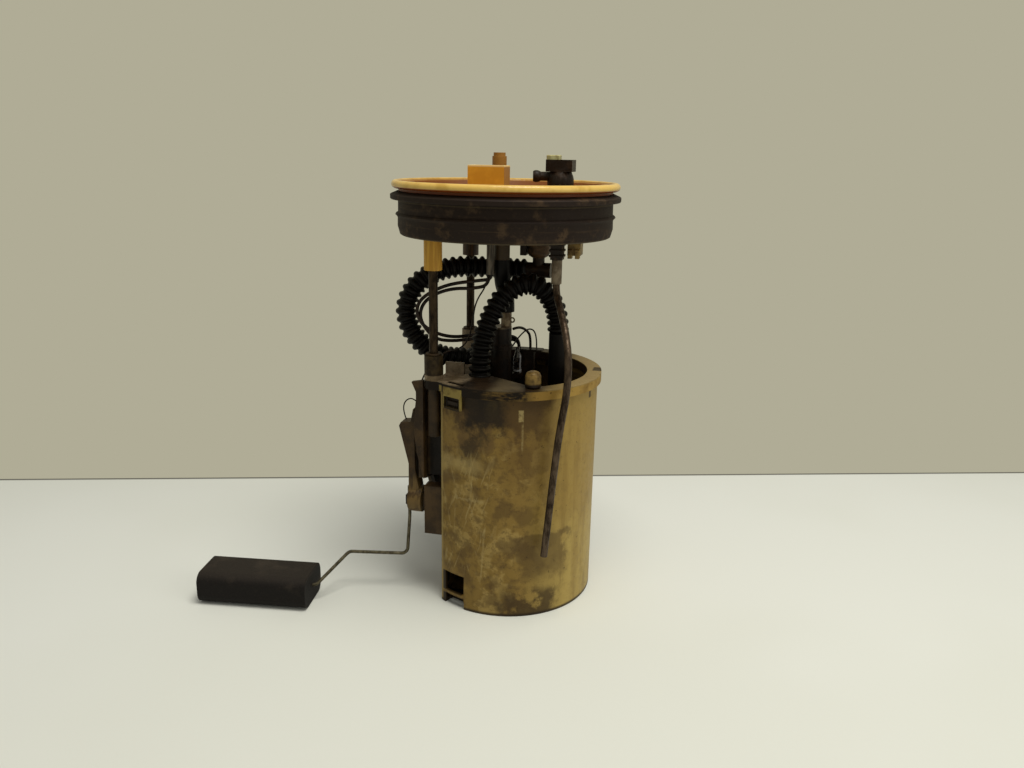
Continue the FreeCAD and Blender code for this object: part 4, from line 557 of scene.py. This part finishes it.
outlet_axis = Vector((0.025, 0.0055, 0))
bore_edge, barrel_edge = 0.0052, 0.00735
barrel = [
    (0.2378, 0.0058), (0.2392, 0.0066), (0.2410, 0.0072), (0.2432, 0.0075), (0.2455, 0.0074),
    (0.2472, 0.0070), (0.2484, 0.0064), (0.2496, 0.0060)]
height_slack = 0.00002
dark = Finish("connector_plastic")
cloud = dark.noise(0.006, 4, 0.6)
fine = dark.noise(0.0012, 3, 0.6)
dark_finish = dark.cover(
    dark.mix(paint(26, 17, 9), paint(52, 37, 22), cloud.rise(0.44, 0.68) * 0.8), 0.46 + fine.wander(0.3),
    fine + cloud, 0.0002)
connector = eased("quick_connector", dark_finish, 0.0009, 3)
connector_mesh = settled(connector)
connector.modifiers.clear()
connector.data = connector_mesh
shape = bmesh.new()
shape.from_mesh(connector_mesh)
for height, _ in barrel[1:-1]:
    everything = shape.verts[:] + shape.edges[:] + shape.faces[:]
    bmesh.ops.bisect_plane(shape, geom=everything, plane_co=(0, 0, height), plane_no=(0, 0, 1))
for vert in shape.verts:
    away = Vector((vert.co.x - outlet_axis.x, vert.co.y - outlet_axis.y, 0))
    if bore_edge < away.length < barrel_edge:
        for (low_end, thin), (high_end, thick) in zip(barrel, barrel[1:]):
            if low_end - height_slack <= vert.co.z < high_end:
                share = (vert.co.z - low_end) / (high_end - low_end)
                away.length = thin + (thick - thin) * share
                vert.co = outlet_axis + away + Vector((0, 0, vert.co.z))
shape.to_mesh(connector_mesh)
shape.free()

# The barb's end is a rounded collar round its bore.
barb_direction = Vector((0.978, 0.208, 0))
barb_reach = 0.0155
barb_height = 0.2468
barb_bore = 0.0021
tip = revolved([
    (barb_bore, 0.0), (0.0027, 0.0), (0.0031, 0.0006), (0.0033, 0.0016), (0.0032, 0.0028), (0.0028, 0.0038),
    (0.0024, 0.0044), (barb_bore, 0.0044), (barb_bore, 0.0)], 32)
barb_end = outlet_axis - barb_direction * barb_reach + Vector((0, 0, barb_height))
bmesh.ops.transform(
    tip, verts=tip.verts,
    matrix=Matrix.Translation(barb_end) @ barb_direction.to_track_quat("Z", "Y").to_matrix().to_4x4())
dress(finished("connector_tip", tip), dark_finish, "elbow", "quick_connector")
button_finish = clouded(
    "button_acetal", paint(190, 184, 130), paint(160, 150, 100), 0.003, (0.4, 0.62), 0.45)
eased("release_button", button_finish, 0.0005, 3)

# Springs: coils wound from thin steel wire. The button's and the check valve's coils are copied from their
# solids as they stand, and those behind the brushes are kept as they are.
keep(rod_finish, "brush_springs")
for name, low_body, high_body in (
        ("button_spring", "elbow", "button"), ("check_valve_spring", "check_valve", "canister")):
    coil = dress(finished(f"{name}_coil", merged(name)), rod_finish, None, name)
    low_end, high_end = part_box(name)
    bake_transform(coil)

# Small rubber pieces: the connector's two rings, the pump's seat and the foot valve. They are moulded from
# plain nitrile rubber and sit hidden in their grooves.
rubber_finish = clouded("plain_rubber", paint(24, 22, 20), paint(44, 40, 36), 0.003, (0.4, 0.65), 0.6)
keep(rubber_finish, "connector_seals", "foot_valve", "pump_seat")

# Valves and fittings under the flange: a fawn relief valve, a grey sleeve on the pick-up tube painted pale
# with its highlight, a dark ribbed block, boss and feed elbow, and a cream fitting with lugs, all filmed with
# brown fuel varnish.
fawn = Finish("fawn_plastic")
cloud = fawn.noise(0.007, 4, 0.6)
fine = fawn.noise(0.0015, 3, 0.6)
fawn_finish = fawn.cover(
    fawn.mix(paint(84, 62, 38), paint(42, 29, 16), cloud.rise(0.38, 0.64)), 0.48 + fine.wander(0.3),
    fine + cloud, 0.0002)
eased("relief_valve", fawn_finish, 0.0004, 2)
# The sleeve's grey is partly a painted highlight.
grey_and_highlit_finish = clouded(
    "grey_highlit_plastic", paint(126, 113, 92), paint(84, 72, 55), 0.006, (0.38, 0.64), 0.5, 0.0002, 4, 0.6)
eased("pickup_sleeve", grey_and_highlit_finish, 0.0004, 2)
for name in ("valve_block", "pickup_boss", "feed_elbow"):
    eased(name, dark_finish, 0.0003, 2)
drab_finish = clouded(
    "drab_acetal", paint(140, 116, 66), paint(86, 66, 34), 0.005, (0.36, 0.62), 0.46, 0.0002, 4, 0.6)
eased("lugged_fitting", drab_finish, 0.0005, 2)

# Pick-up tube: thin steel tube pushed into the ribbed boss under the flange, and bent by hand so that it runs
# clear of the lid and down the canister's front.
tube_finish = steel("tube_steel", paint(88, 74, 60), paint(36, 27, 20), 0.0026)
keep(tube_finish, "pickup_tube")


# Corrugated hoses: black polyamide tube blown into rounded rings about 4 mm apart, filmed with oily dirt. The
# feed hose loops out to the left, and the other arches over the canister's mouth.
def curve_line(name, points):
    """A smooth line whose control points are the points of a route, in millimetres."""
    data = bpy.data.curves.new(name, "CURVE")
    data.dimensions = "3D"
    spline = data.splines.new("NURBS")
    spline.points.add(len(points) - 1)
    for point, place in zip(spline.points, points):
        point.co = (*(value / 1000 for value in place), 1)
    spline.order_u = 3
    spline.use_endpoint_u = True
    spline.resolution_u = 16
    return placed(name, data)


ring_shape = [
    (0.0, 0.0), (0.10, 0.10), (0.20, 0.45), (0.30, 0.80), (0.42, 0.97),
    (0.58, 0.97), (0.70, 0.80), (0.80, 0.45), (0.90, 0.10), (1.0, 0.0)]


def corrugated(name, points, crest=0.0063, valley=0.0046, pitch=0.0041):
    """A ringed hose along a route: one ring is shaped, repeated and bent along the line."""
    line = curve_line(f"{name}_line", points)
    length = line.data.splines[0].calc_length()
    count = round(length / pitch)
    step = length / count
    shape = bmesh.new()
    bmesh.ops.create_circle(shape, segments=36, radius=valley, matrix=Matrix.Rotation(math.pi / 2, 4, "Y"))
    rim_edges = shape.edges[:]
    last_radius = valley
    for (before, _), (place, swell) in zip(ring_shape, ring_shape[1:]):
        grown = bmesh.ops.extrude_edge_only(shape, edges=rim_edges)["geom"]
        rim_edges = [item for item in grown if isinstance(item, bmesh.types.BMEdge)]
        rim_points = [item for item in grown if isinstance(item, bmesh.types.BMVert)]
        next_radius = valley + (crest - valley) * swell
        widening = next_radius / last_radius
        bmesh.ops.scale(shape, verts=rim_points, vec=(1, widening, widening))
        bmesh.ops.translate(shape, verts=rim_points, vec=((place - before) * step, 0, 0))
        last_radius = next_radius
    hose = finished(name, shape)
    rows = hose.modifiers.new("rows", "ARRAY")
    rows.use_relative_offset = False
    rows.use_constant_offset = True
    rows.constant_offset_displace = (step, 0, 0)
    rows.count = count
    rows.use_merge_vertices = True
    rows.merge_threshold = 0.00005
    bent = hose.modifiers.new("bent", "CURVE")
    bent.object = line
    bent.deform_axis = "POS_X"
    one_ring = hose.data
    hose.data = settled(hose)
    hose.modifiers.clear()
    bpy.data.meshes.remove(one_ring)
    bpy.data.objects.remove(line)
    hose.data.shade_smooth()
    wall = hose.modifiers.new("wall", "SOLIDIFY")
    wall.thickness = 0.0009
    wall.offset = -1
    return hose


glossy = Finish("hose_polyamide")
cloud = glossy.noise(0.006, 4, 0.6)
fine = glossy.noise(0.0009, 3, 0.6)
film = cloud.rise(0.5, 0.72) * 0.6
hose_finish = glossy.cover(
    glossy.mix(paint(6, 4, 3), paint(19, 13, 8), film), 0.42 + film * 0.3 + fine.wander(0.15), fine, 0.00008,
    0.12)
feed_route = [
    (5.5, 13.0, 193.0), (-6.0, 13.0, 193.0), (-21.5, 7.4, 194.2), (-38.0, 1.0, 194.2), (-52.5, -5.6, 188.5),
    (-60.4, -9.6, 178.0), (-62.3, -11.0, 166.0), (-56.5, -10.2, 152.0), (-42.0, -4.0, 139.5),
    (-19.0, 13.0, 138.6), (-19.0, 13.0, 107.0)]
feed = corrugated("feed_hose_rings", feed_route)
dress(feed, hose_finish, None, "feed_hose", slot="hose_black")
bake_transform(feed)
arch_route = [
    (-13.0, -23.4, 101.0), (-13.0, -23.4, 126.0), (-13.4, -23.2, 151.0), (-9.6, -18.6, 168.0),
    (-1.6, -12.0, 183.4), (12.0, -6.6, 189.4), (22.4, -2.6, 181.0), (27.4, 0.0, 168.6), (27.4, 0.0, 159.0)]
arch = corrugated("arched_hose_rings", arch_route)
dress(arch, hose_finish, "canister", "arched_hose", slot="hose_black")


# Smooth hoses: a plain cuff on the arched hose's far leg and the short return hose under the flange, of the
# same polyamide.
def smooth_hose(name, points, radius):
    """A plain hose along a route, made as a mesh."""
    line = curve_line(name, points)
    line.data.bevel_depth = radius
    line.data.bevel_resolution = 6
    line.data.use_fill_caps = True
    mesh = settled(line)
    bpy.data.objects.remove(line)
    mesh.shade_smooth()
    mesh.set_sharp_from_angle(angle=math.radians(50))
    return placed(name, mesh)


eased("arched_hose_cuff", hose_finish, 0.0004, 2)
return_route = [(-6.4, -1.4, 200.0), (-6.4, -1.4, 188.0), (-4.5, 4.0, 179.0), (-4.5, 4.0, 169.0)]
drain = smooth_hose("return_hose_smooth", return_route, 0.0048)
dress(drain, hose_finish, None, "return_hose", slot="hose_black")
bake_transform(drain)

# Wiring: brown-black insulated leads out of a woven sleeve. Two power leads loop out to the left and back to
# the pump's plug, a thin pair runs down to the level sender, and two cables run from the tower to the plug.
lead_finish = clouded("lead_cover", paint(20, 13, 9), paint(44, 31, 21), 0.004, (0.42, 0.66), 0.42)
loom = Finish("loom_sleeve")
weave = loom.noise(0.0012, 2, 0.5, loom.stretched(1, 1, 0.12))
loom_finish = loom.cover(
    loom.mix(paint(60, 54, 46), paint(104, 96, 82), weave.rise(0.4, 0.6)), 0.5, weave, 0.0003)
power_routes = [
    [(-11.0, -7.8, 191.8), (-11.0, -7.8, 189.2), (-19.0, -8.8, 188.2), (-34.4, -9.8, 185.8),
     (-45.0, -12.4, 181.4), (-51.6, -16.6, 176.0), (-53.0, -17.6, 169.0), (-50.0, -16.4, 162.0),
     (-43.0, -12.6, 156.6), (-34.0, -8.6, 154.0), (-24.0, -3.0, 154.6), (-17.4, 9.0, 154.4),
     (-9.0, 17.6, 151.4), (0.0, 20.4, 150.0), (0.0, 20.4, 143.6)],
    [(-12.6, -6.4, 191.8), (-12.6, -6.4, 185.4), (-22.0, -8.0, 183.4), (-33.4, -8.8, 183.0),
     (-43.0, -11.4, 180.0), (-49.4, -15.0, 175.0), (-51.6, -16.2, 167.6), (-49.0, -15.0, 160.0),
     (-43.4, -11.4, 152.8), (-35.0, -7.4, 151.4), (-25.6, -1.6, 151.8), (-18.6, 10.0, 151.6),
     (-9.6, 20.2, 148.4), (-0.6, 22.8, 148.0), (-0.6, 22.8, 143.6)]]
for number, route in enumerate(power_routes, 1):
    wire = smooth_hose(f"power_lead_{number}", route, 0.001)
    dress(wire, lead_finish, None, "power_wires", slot="wire_cover")
    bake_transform(wire)
sender_route = [
    (-12.6, -9.4, 191.8), (-12.8, -9.9, 186.4), (-18.9, -12.5, 176.8), (-19.9, -14.7, 166.0),
    (-21.4, -17.6, 155.0), (-26.4, -21.0, 149.8), (-32.6, -25.4, 149.6), (-38.4, -30.2, 144.4),
    (-42.6, -33.6, 138.4), (-44.3, -35.6, 132.6)]
sender_lead = smooth_hose("sender_lead", sender_route, 0.00045)
dress(sender_lead, lead_finish, None, "sender_wires", slot="wire_cover")
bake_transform(sender_lead)
keep(loom_finish, "lead_bundle")
cable_routes = [
    [(-0.9, 6.8, 158.0), (2.0, 10.6, 159.0), (5.6, 16.6, 155.6), (7.0, 21.0, 151.0), (7.0, 21.0, 143.6)],
    [(-1.5, 8.6, 147.0), (1.0, 11.6, 152.0), (6.6, 17.8, 157.4), (10.6, 22.4, 153.0), (10.6, 22.4, 143.6)]]
for number, (route, thickness) in enumerate(zip(cable_routes, (0.0008, 0.00045)), 1):
    cable = smooth_hose(f"pump_cable_{number}", route, thickness)
    dress(cable, lead_finish, "canister", "pump_cables", slot="wire_cover")

# Regulator tower, plug and nozzle: the pump's outlet tower with its pale return spigot, the black plug on its
# terminals, and a small clear nozzle with painted highlights along its rims.
tower = Finish("tower_plastic")
cloud = tower.noise(0.006, 4, 0.6)
fine = tower.noise(0.0014, 3, 0.6)
brown = tower.mix(paint(36, 25, 15), paint(17, 11, 7), cloud.rise(0.36, 0.62))
spigot_tint = tower.mix(paint(142, 124, 94), paint(92, 74, 52), cloud.rise(0.42, 0.6))
tower_finish = tower.cover(
    tower.mix(brown, spigot_tint, tower.z.rise(0.1585, 0.1606)), 0.42, fine + cloud, 0.0002)
eased("regulator_tower", tower_finish, 0.0004, 2)
eased("pump_connector", dark_finish, 0.0004, 2)
nozzle_low, nozzle_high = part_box("clear_nozzle")
nozzle_axis = (nozzle_low[0] + nozzle_high[0]) / 2
nozzle_radius = 0.0021
collar_height = nozzle_low[2] + 0.0018
clear = Finish("clear_plastic")
cloud = clear.noise(0.002, 2)
clear.shader.inputs["Transmission Weight"].default_value = 0.3
clear.shader.inputs["IOR"].default_value = 1.46
glass = clear.mix(paint(36, 28, 24), paint(96, 88, 78), cloud.rise(0.45, 0.7))
# Painted highlights: pale lines down the nozzle's sides and round its collar.
wall_glints = abs(clear.x - nozzle_axis).near(nozzle_radius, 0.0005, 0.0001)
collar_glint = clear.z.near(collar_height, 0.0008, 0.0003)
rimmed = clear.mix(glass, paint(236, 236, 230), (wall_glints + collar_glint) * 0.85)
clear_finish = clear.cover(rimmed, 0.1, shine=0.6)
eased("clear_nozzle", clear_finish, 0.0002, 2)

# Level sender: a brown carrier on the canister's flat side with the sender's housing in front of it, a
# printed ceramic card, and the wiper's holder that turns on a steel pin.
sender = Finish("sender_plastic")
cloud = sender.noise(0.012, 5, 0.6)
fine = sender.noise(0.0012, 3, 0.6)
streaks = sender.noise(0.0018, 3, 0.5, sender.stretched(1, 1, 0.12))
taupe = sender.mix(paint(70, 52, 27), paint(36, 25, 12), cloud.rise(0.36, 0.64) * 0.8 + streaks * 0.25)
freckled = sender.mix(taupe, paint(92, 76, 48), fine.rise(0.62, 0.72) * 0.4)
# Painted light on the housing's lower front, round the wiper's hub.
lit_hub = sender.z.rise(0.080, 0.070) * sender.x.rise(-0.0435, -0.0445)
lightened = sender.mix(freckled, paint(112, 90, 50), lit_hub * streaks.rise(0.3, 0.6) * 0.7)
# Painted shade, almost black, on the carrier's plate in the hollow beside the housing.
shade = sender.z.near(0.087, 0.017, 0.013) * sender.x.rise(-0.0415, -0.0395)
sender_finish = sender.cover(
    sender.mix(lightened, paint(10, 5, 3), shade * 0.9), 0.5 + fine.wander(0.3),
    streaks * 0.4 + fine * 0.6, 0.0002)
for name in ("sender_carrier", "sender_housing", "wiper_holder"):
    eased(name, sender_finish, 0.0004, 2)
pivot_across, pivot_height = -0.0325, 0.0605
track_radius = 0.0385
card = Finish("card_ceramic")
reach = distance(card.y - pivot_across, card.z - pivot_height)
track = reach.near(track_radius, 0.0042, 0.0038) * (1 - reach.near(track_radius, 0.0004, 0.0))
card_finish = card.cover(
    card.mix(paint(178, 172, 158), paint(46, 44, 42), track * 0.9), 0.4, card.noise(0.001, 2), 0.0001)
keep(card_finish, "ceramic_card")
keep(rod_finish, "pivot_pin")
keep(brass_finish, "wiper_contacts")
wiper_route = [
    (-54.6, -32.5, 109.0), (-55.4, -33.0, 111.4), (-56.2, -33.2, 116.6), (-54.8, -32.9, 120.4),
    (-51.8, -32.2, 122.0), (-49.0, -31.8, 120.6), (-46.2, -31.6, 118.6)]
wiper_lead = smooth_hose("wiper_lead_loop", wiper_route, 0.00036)
dress(wiper_lead, lead_finish, "sender_arm", "wiper_lead", slot="wire_cover")

# Float arm: one steel wire, bent by machine to reach from the wiper's hub to the float. A small plastic clip
# holds it in the hub.
arm_finish = steel("arm_steel", paint(104, 98, 80), paint(56, 51, 38), 0.002)
keep(arm_finish, "float_arm")
eased("arm_clip", dark_finish, 0.0003, 2)

# Float: a block of closed-cell nitrile foam, pushed onto the end of the wire. It is matt black and finely
# pitted, and paler towards its top.
foam = Finish("float_foam")
cloud = foam.noise(0.018, 5, 0.6)
cells = foam.noise(0.0009, 3, 0.7)
top_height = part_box("float")[1][2]
top_paling = foam.z.rise(top_height - 0.004, top_height)
lightened = cloud.rise(0.5, 0.72) * 0.5 + cells.rise(0.58, 0.7) * 0.4 + top_paling * 0.3
foam_finish = foam.cover(
    foam.mix(paint(17, 13, 11), paint(58, 50, 40), lightened), 0.72, cells + cloud * 0.3, 0.0004)
eased("float", foam_finish, 0.0014, 4, 50)

# Pump and its inner parts: a zinc-plated steel case, a plastic top cover, an alloy inlet cover, a wound
# armature and ferrite magnets. They stand inside the canister, and the carbon brushes are as dull as rubber.
zinc = steel("case_zinc", paint(176, 170, 150), paint(132, 122, 100), 0.006)
keep(zinc, "pump_case", "motor_shaft")
for name, material in (
        ("pump_top_cover", fawn_finish), ("jet_pump", fawn_finish), ("inner_cover", lid_finish),
        ("inlet_strainer", fawn_finish)):
    eased(name, material, 0.0004, 2)
keep(fawn_finish, "impeller", "check_valve_poppet")
cast = steel("cover_alloy", paint(170, 168, 162), paint(128, 124, 116), 0.003)
eased("pump_inlet_cover", cast, 0.0005, 2)
keep(brass_finish, "commutator", "shaft_bushes")
iron = steel("armature_iron", paint(96, 92, 88), paint(60, 56, 52), 0.003)
keep(iron, "armature", "field_magnets")
keep(rubber_finish, "carbon_brushes")

# Table and wall: a white table top whose far edge is 16 cm behind the pump, a plain beige-grey wall, and soft
# light from a large lamp overhead with a weaker one on the right.
table_turn = math.radians(16.58)
table_edge = 0.1659
table = Finish("table_paint")
cloud = table.noise(0.4, 3)
speckle = table.noise(0.0016, 2, 0.5)
behind = table.y * math.cos(table_turn) - table.x * math.sin(table_turn)
paper = table.mix(paint(224, 226, 216), paint(219, 221, 209), cloud.rise(0.4, 0.6) * 0.7 + speckle * 0.3)
edge_shade = behind.rise(table_edge - 0.0037, table_edge - 0.0017)
table_finish = table.cover(table.mix(paper, paint(60, 56, 44), edge_shade * 0.85), 0.75)
top = bmesh.new()
bmesh.ops.create_grid(top, x_segments=1, y_segments=1, size=1, matrix=Matrix.Diagonal((1.6, 1.0, 1, 1)))
bmesh.ops.translate(top, verts=top.verts, vec=(0, table_edge - 1.0, 0))
bmesh.ops.rotate(top, verts=top.verts, cent=(0, 0, 0), matrix=Matrix.Rotation(table_turn, 3, "Z"))
floor = finished("table_top", top, False)
floor.data.materials.append(table_finish)

# The wall is the world as the camera and reflections see it; all other rays meet a dimmer, warm white room.
world = bpy.data.worlds.new("room")
bpy.context.scene.world = world
world.use_nodes = True
room = world.node_tree
ambient = room.nodes["Background"]
ambient.inputs["Color"].default_value = (1.0, 0.985, 0.95, 1)
ambient.inputs["Strength"].default_value = 0.3
wall = room.nodes.new("ShaderNodeBackground")
wall.inputs["Color"].default_value = paint(176, 172, 150)
wall.inputs["Strength"].default_value = 1.0
rays = room.nodes.new("ShaderNodeLightPath")
chosen = room.nodes.new("ShaderNodeMixShader")
seen = rays.outputs["Is Camera Ray"]
for kind in ("Is Glossy Ray", "Is Transmission Ray"):
    either = room.nodes.new("ShaderNodeMath")
    either.operation = "MAXIMUM"
    room.links.new(seen, either.inputs[0])
    room.links.new(rays.outputs[kind], either.inputs[1])
    seen = either.outputs[0]
room.links.new(seen, chosen.inputs[0])
room.links.new(ambient.outputs[0], chosen.inputs[1])
room.links.new(wall.outputs[0], chosen.inputs[2])
room.links.new(chosen.outputs[0], room.nodes["World Output"].inputs["Surface"])


def lamp(name, place, aim, power):
    """A soft square lamp, 60 cm wide, of a warm white."""
    data = bpy.data.lights.new(name, "AREA")
    data.size = 0.6
    data.energy = power
    data.color = (1, 0.97, 0.92)
    item = placed(name, data)
    item.location = place
    item.rotation_euler = (Vector(aim) - Vector(place)).to_track_quat("-Z", "Y").to_euler()


lamp("overhead", (0.24, -0.22, 1.25), (0, 0, 0.1), 12)
lamp("right", (0.9, -0.35, 0.55), (0, 0, 0.12), 1.6)
bpy.context.scene.view_settings.view_transform = "Standard"
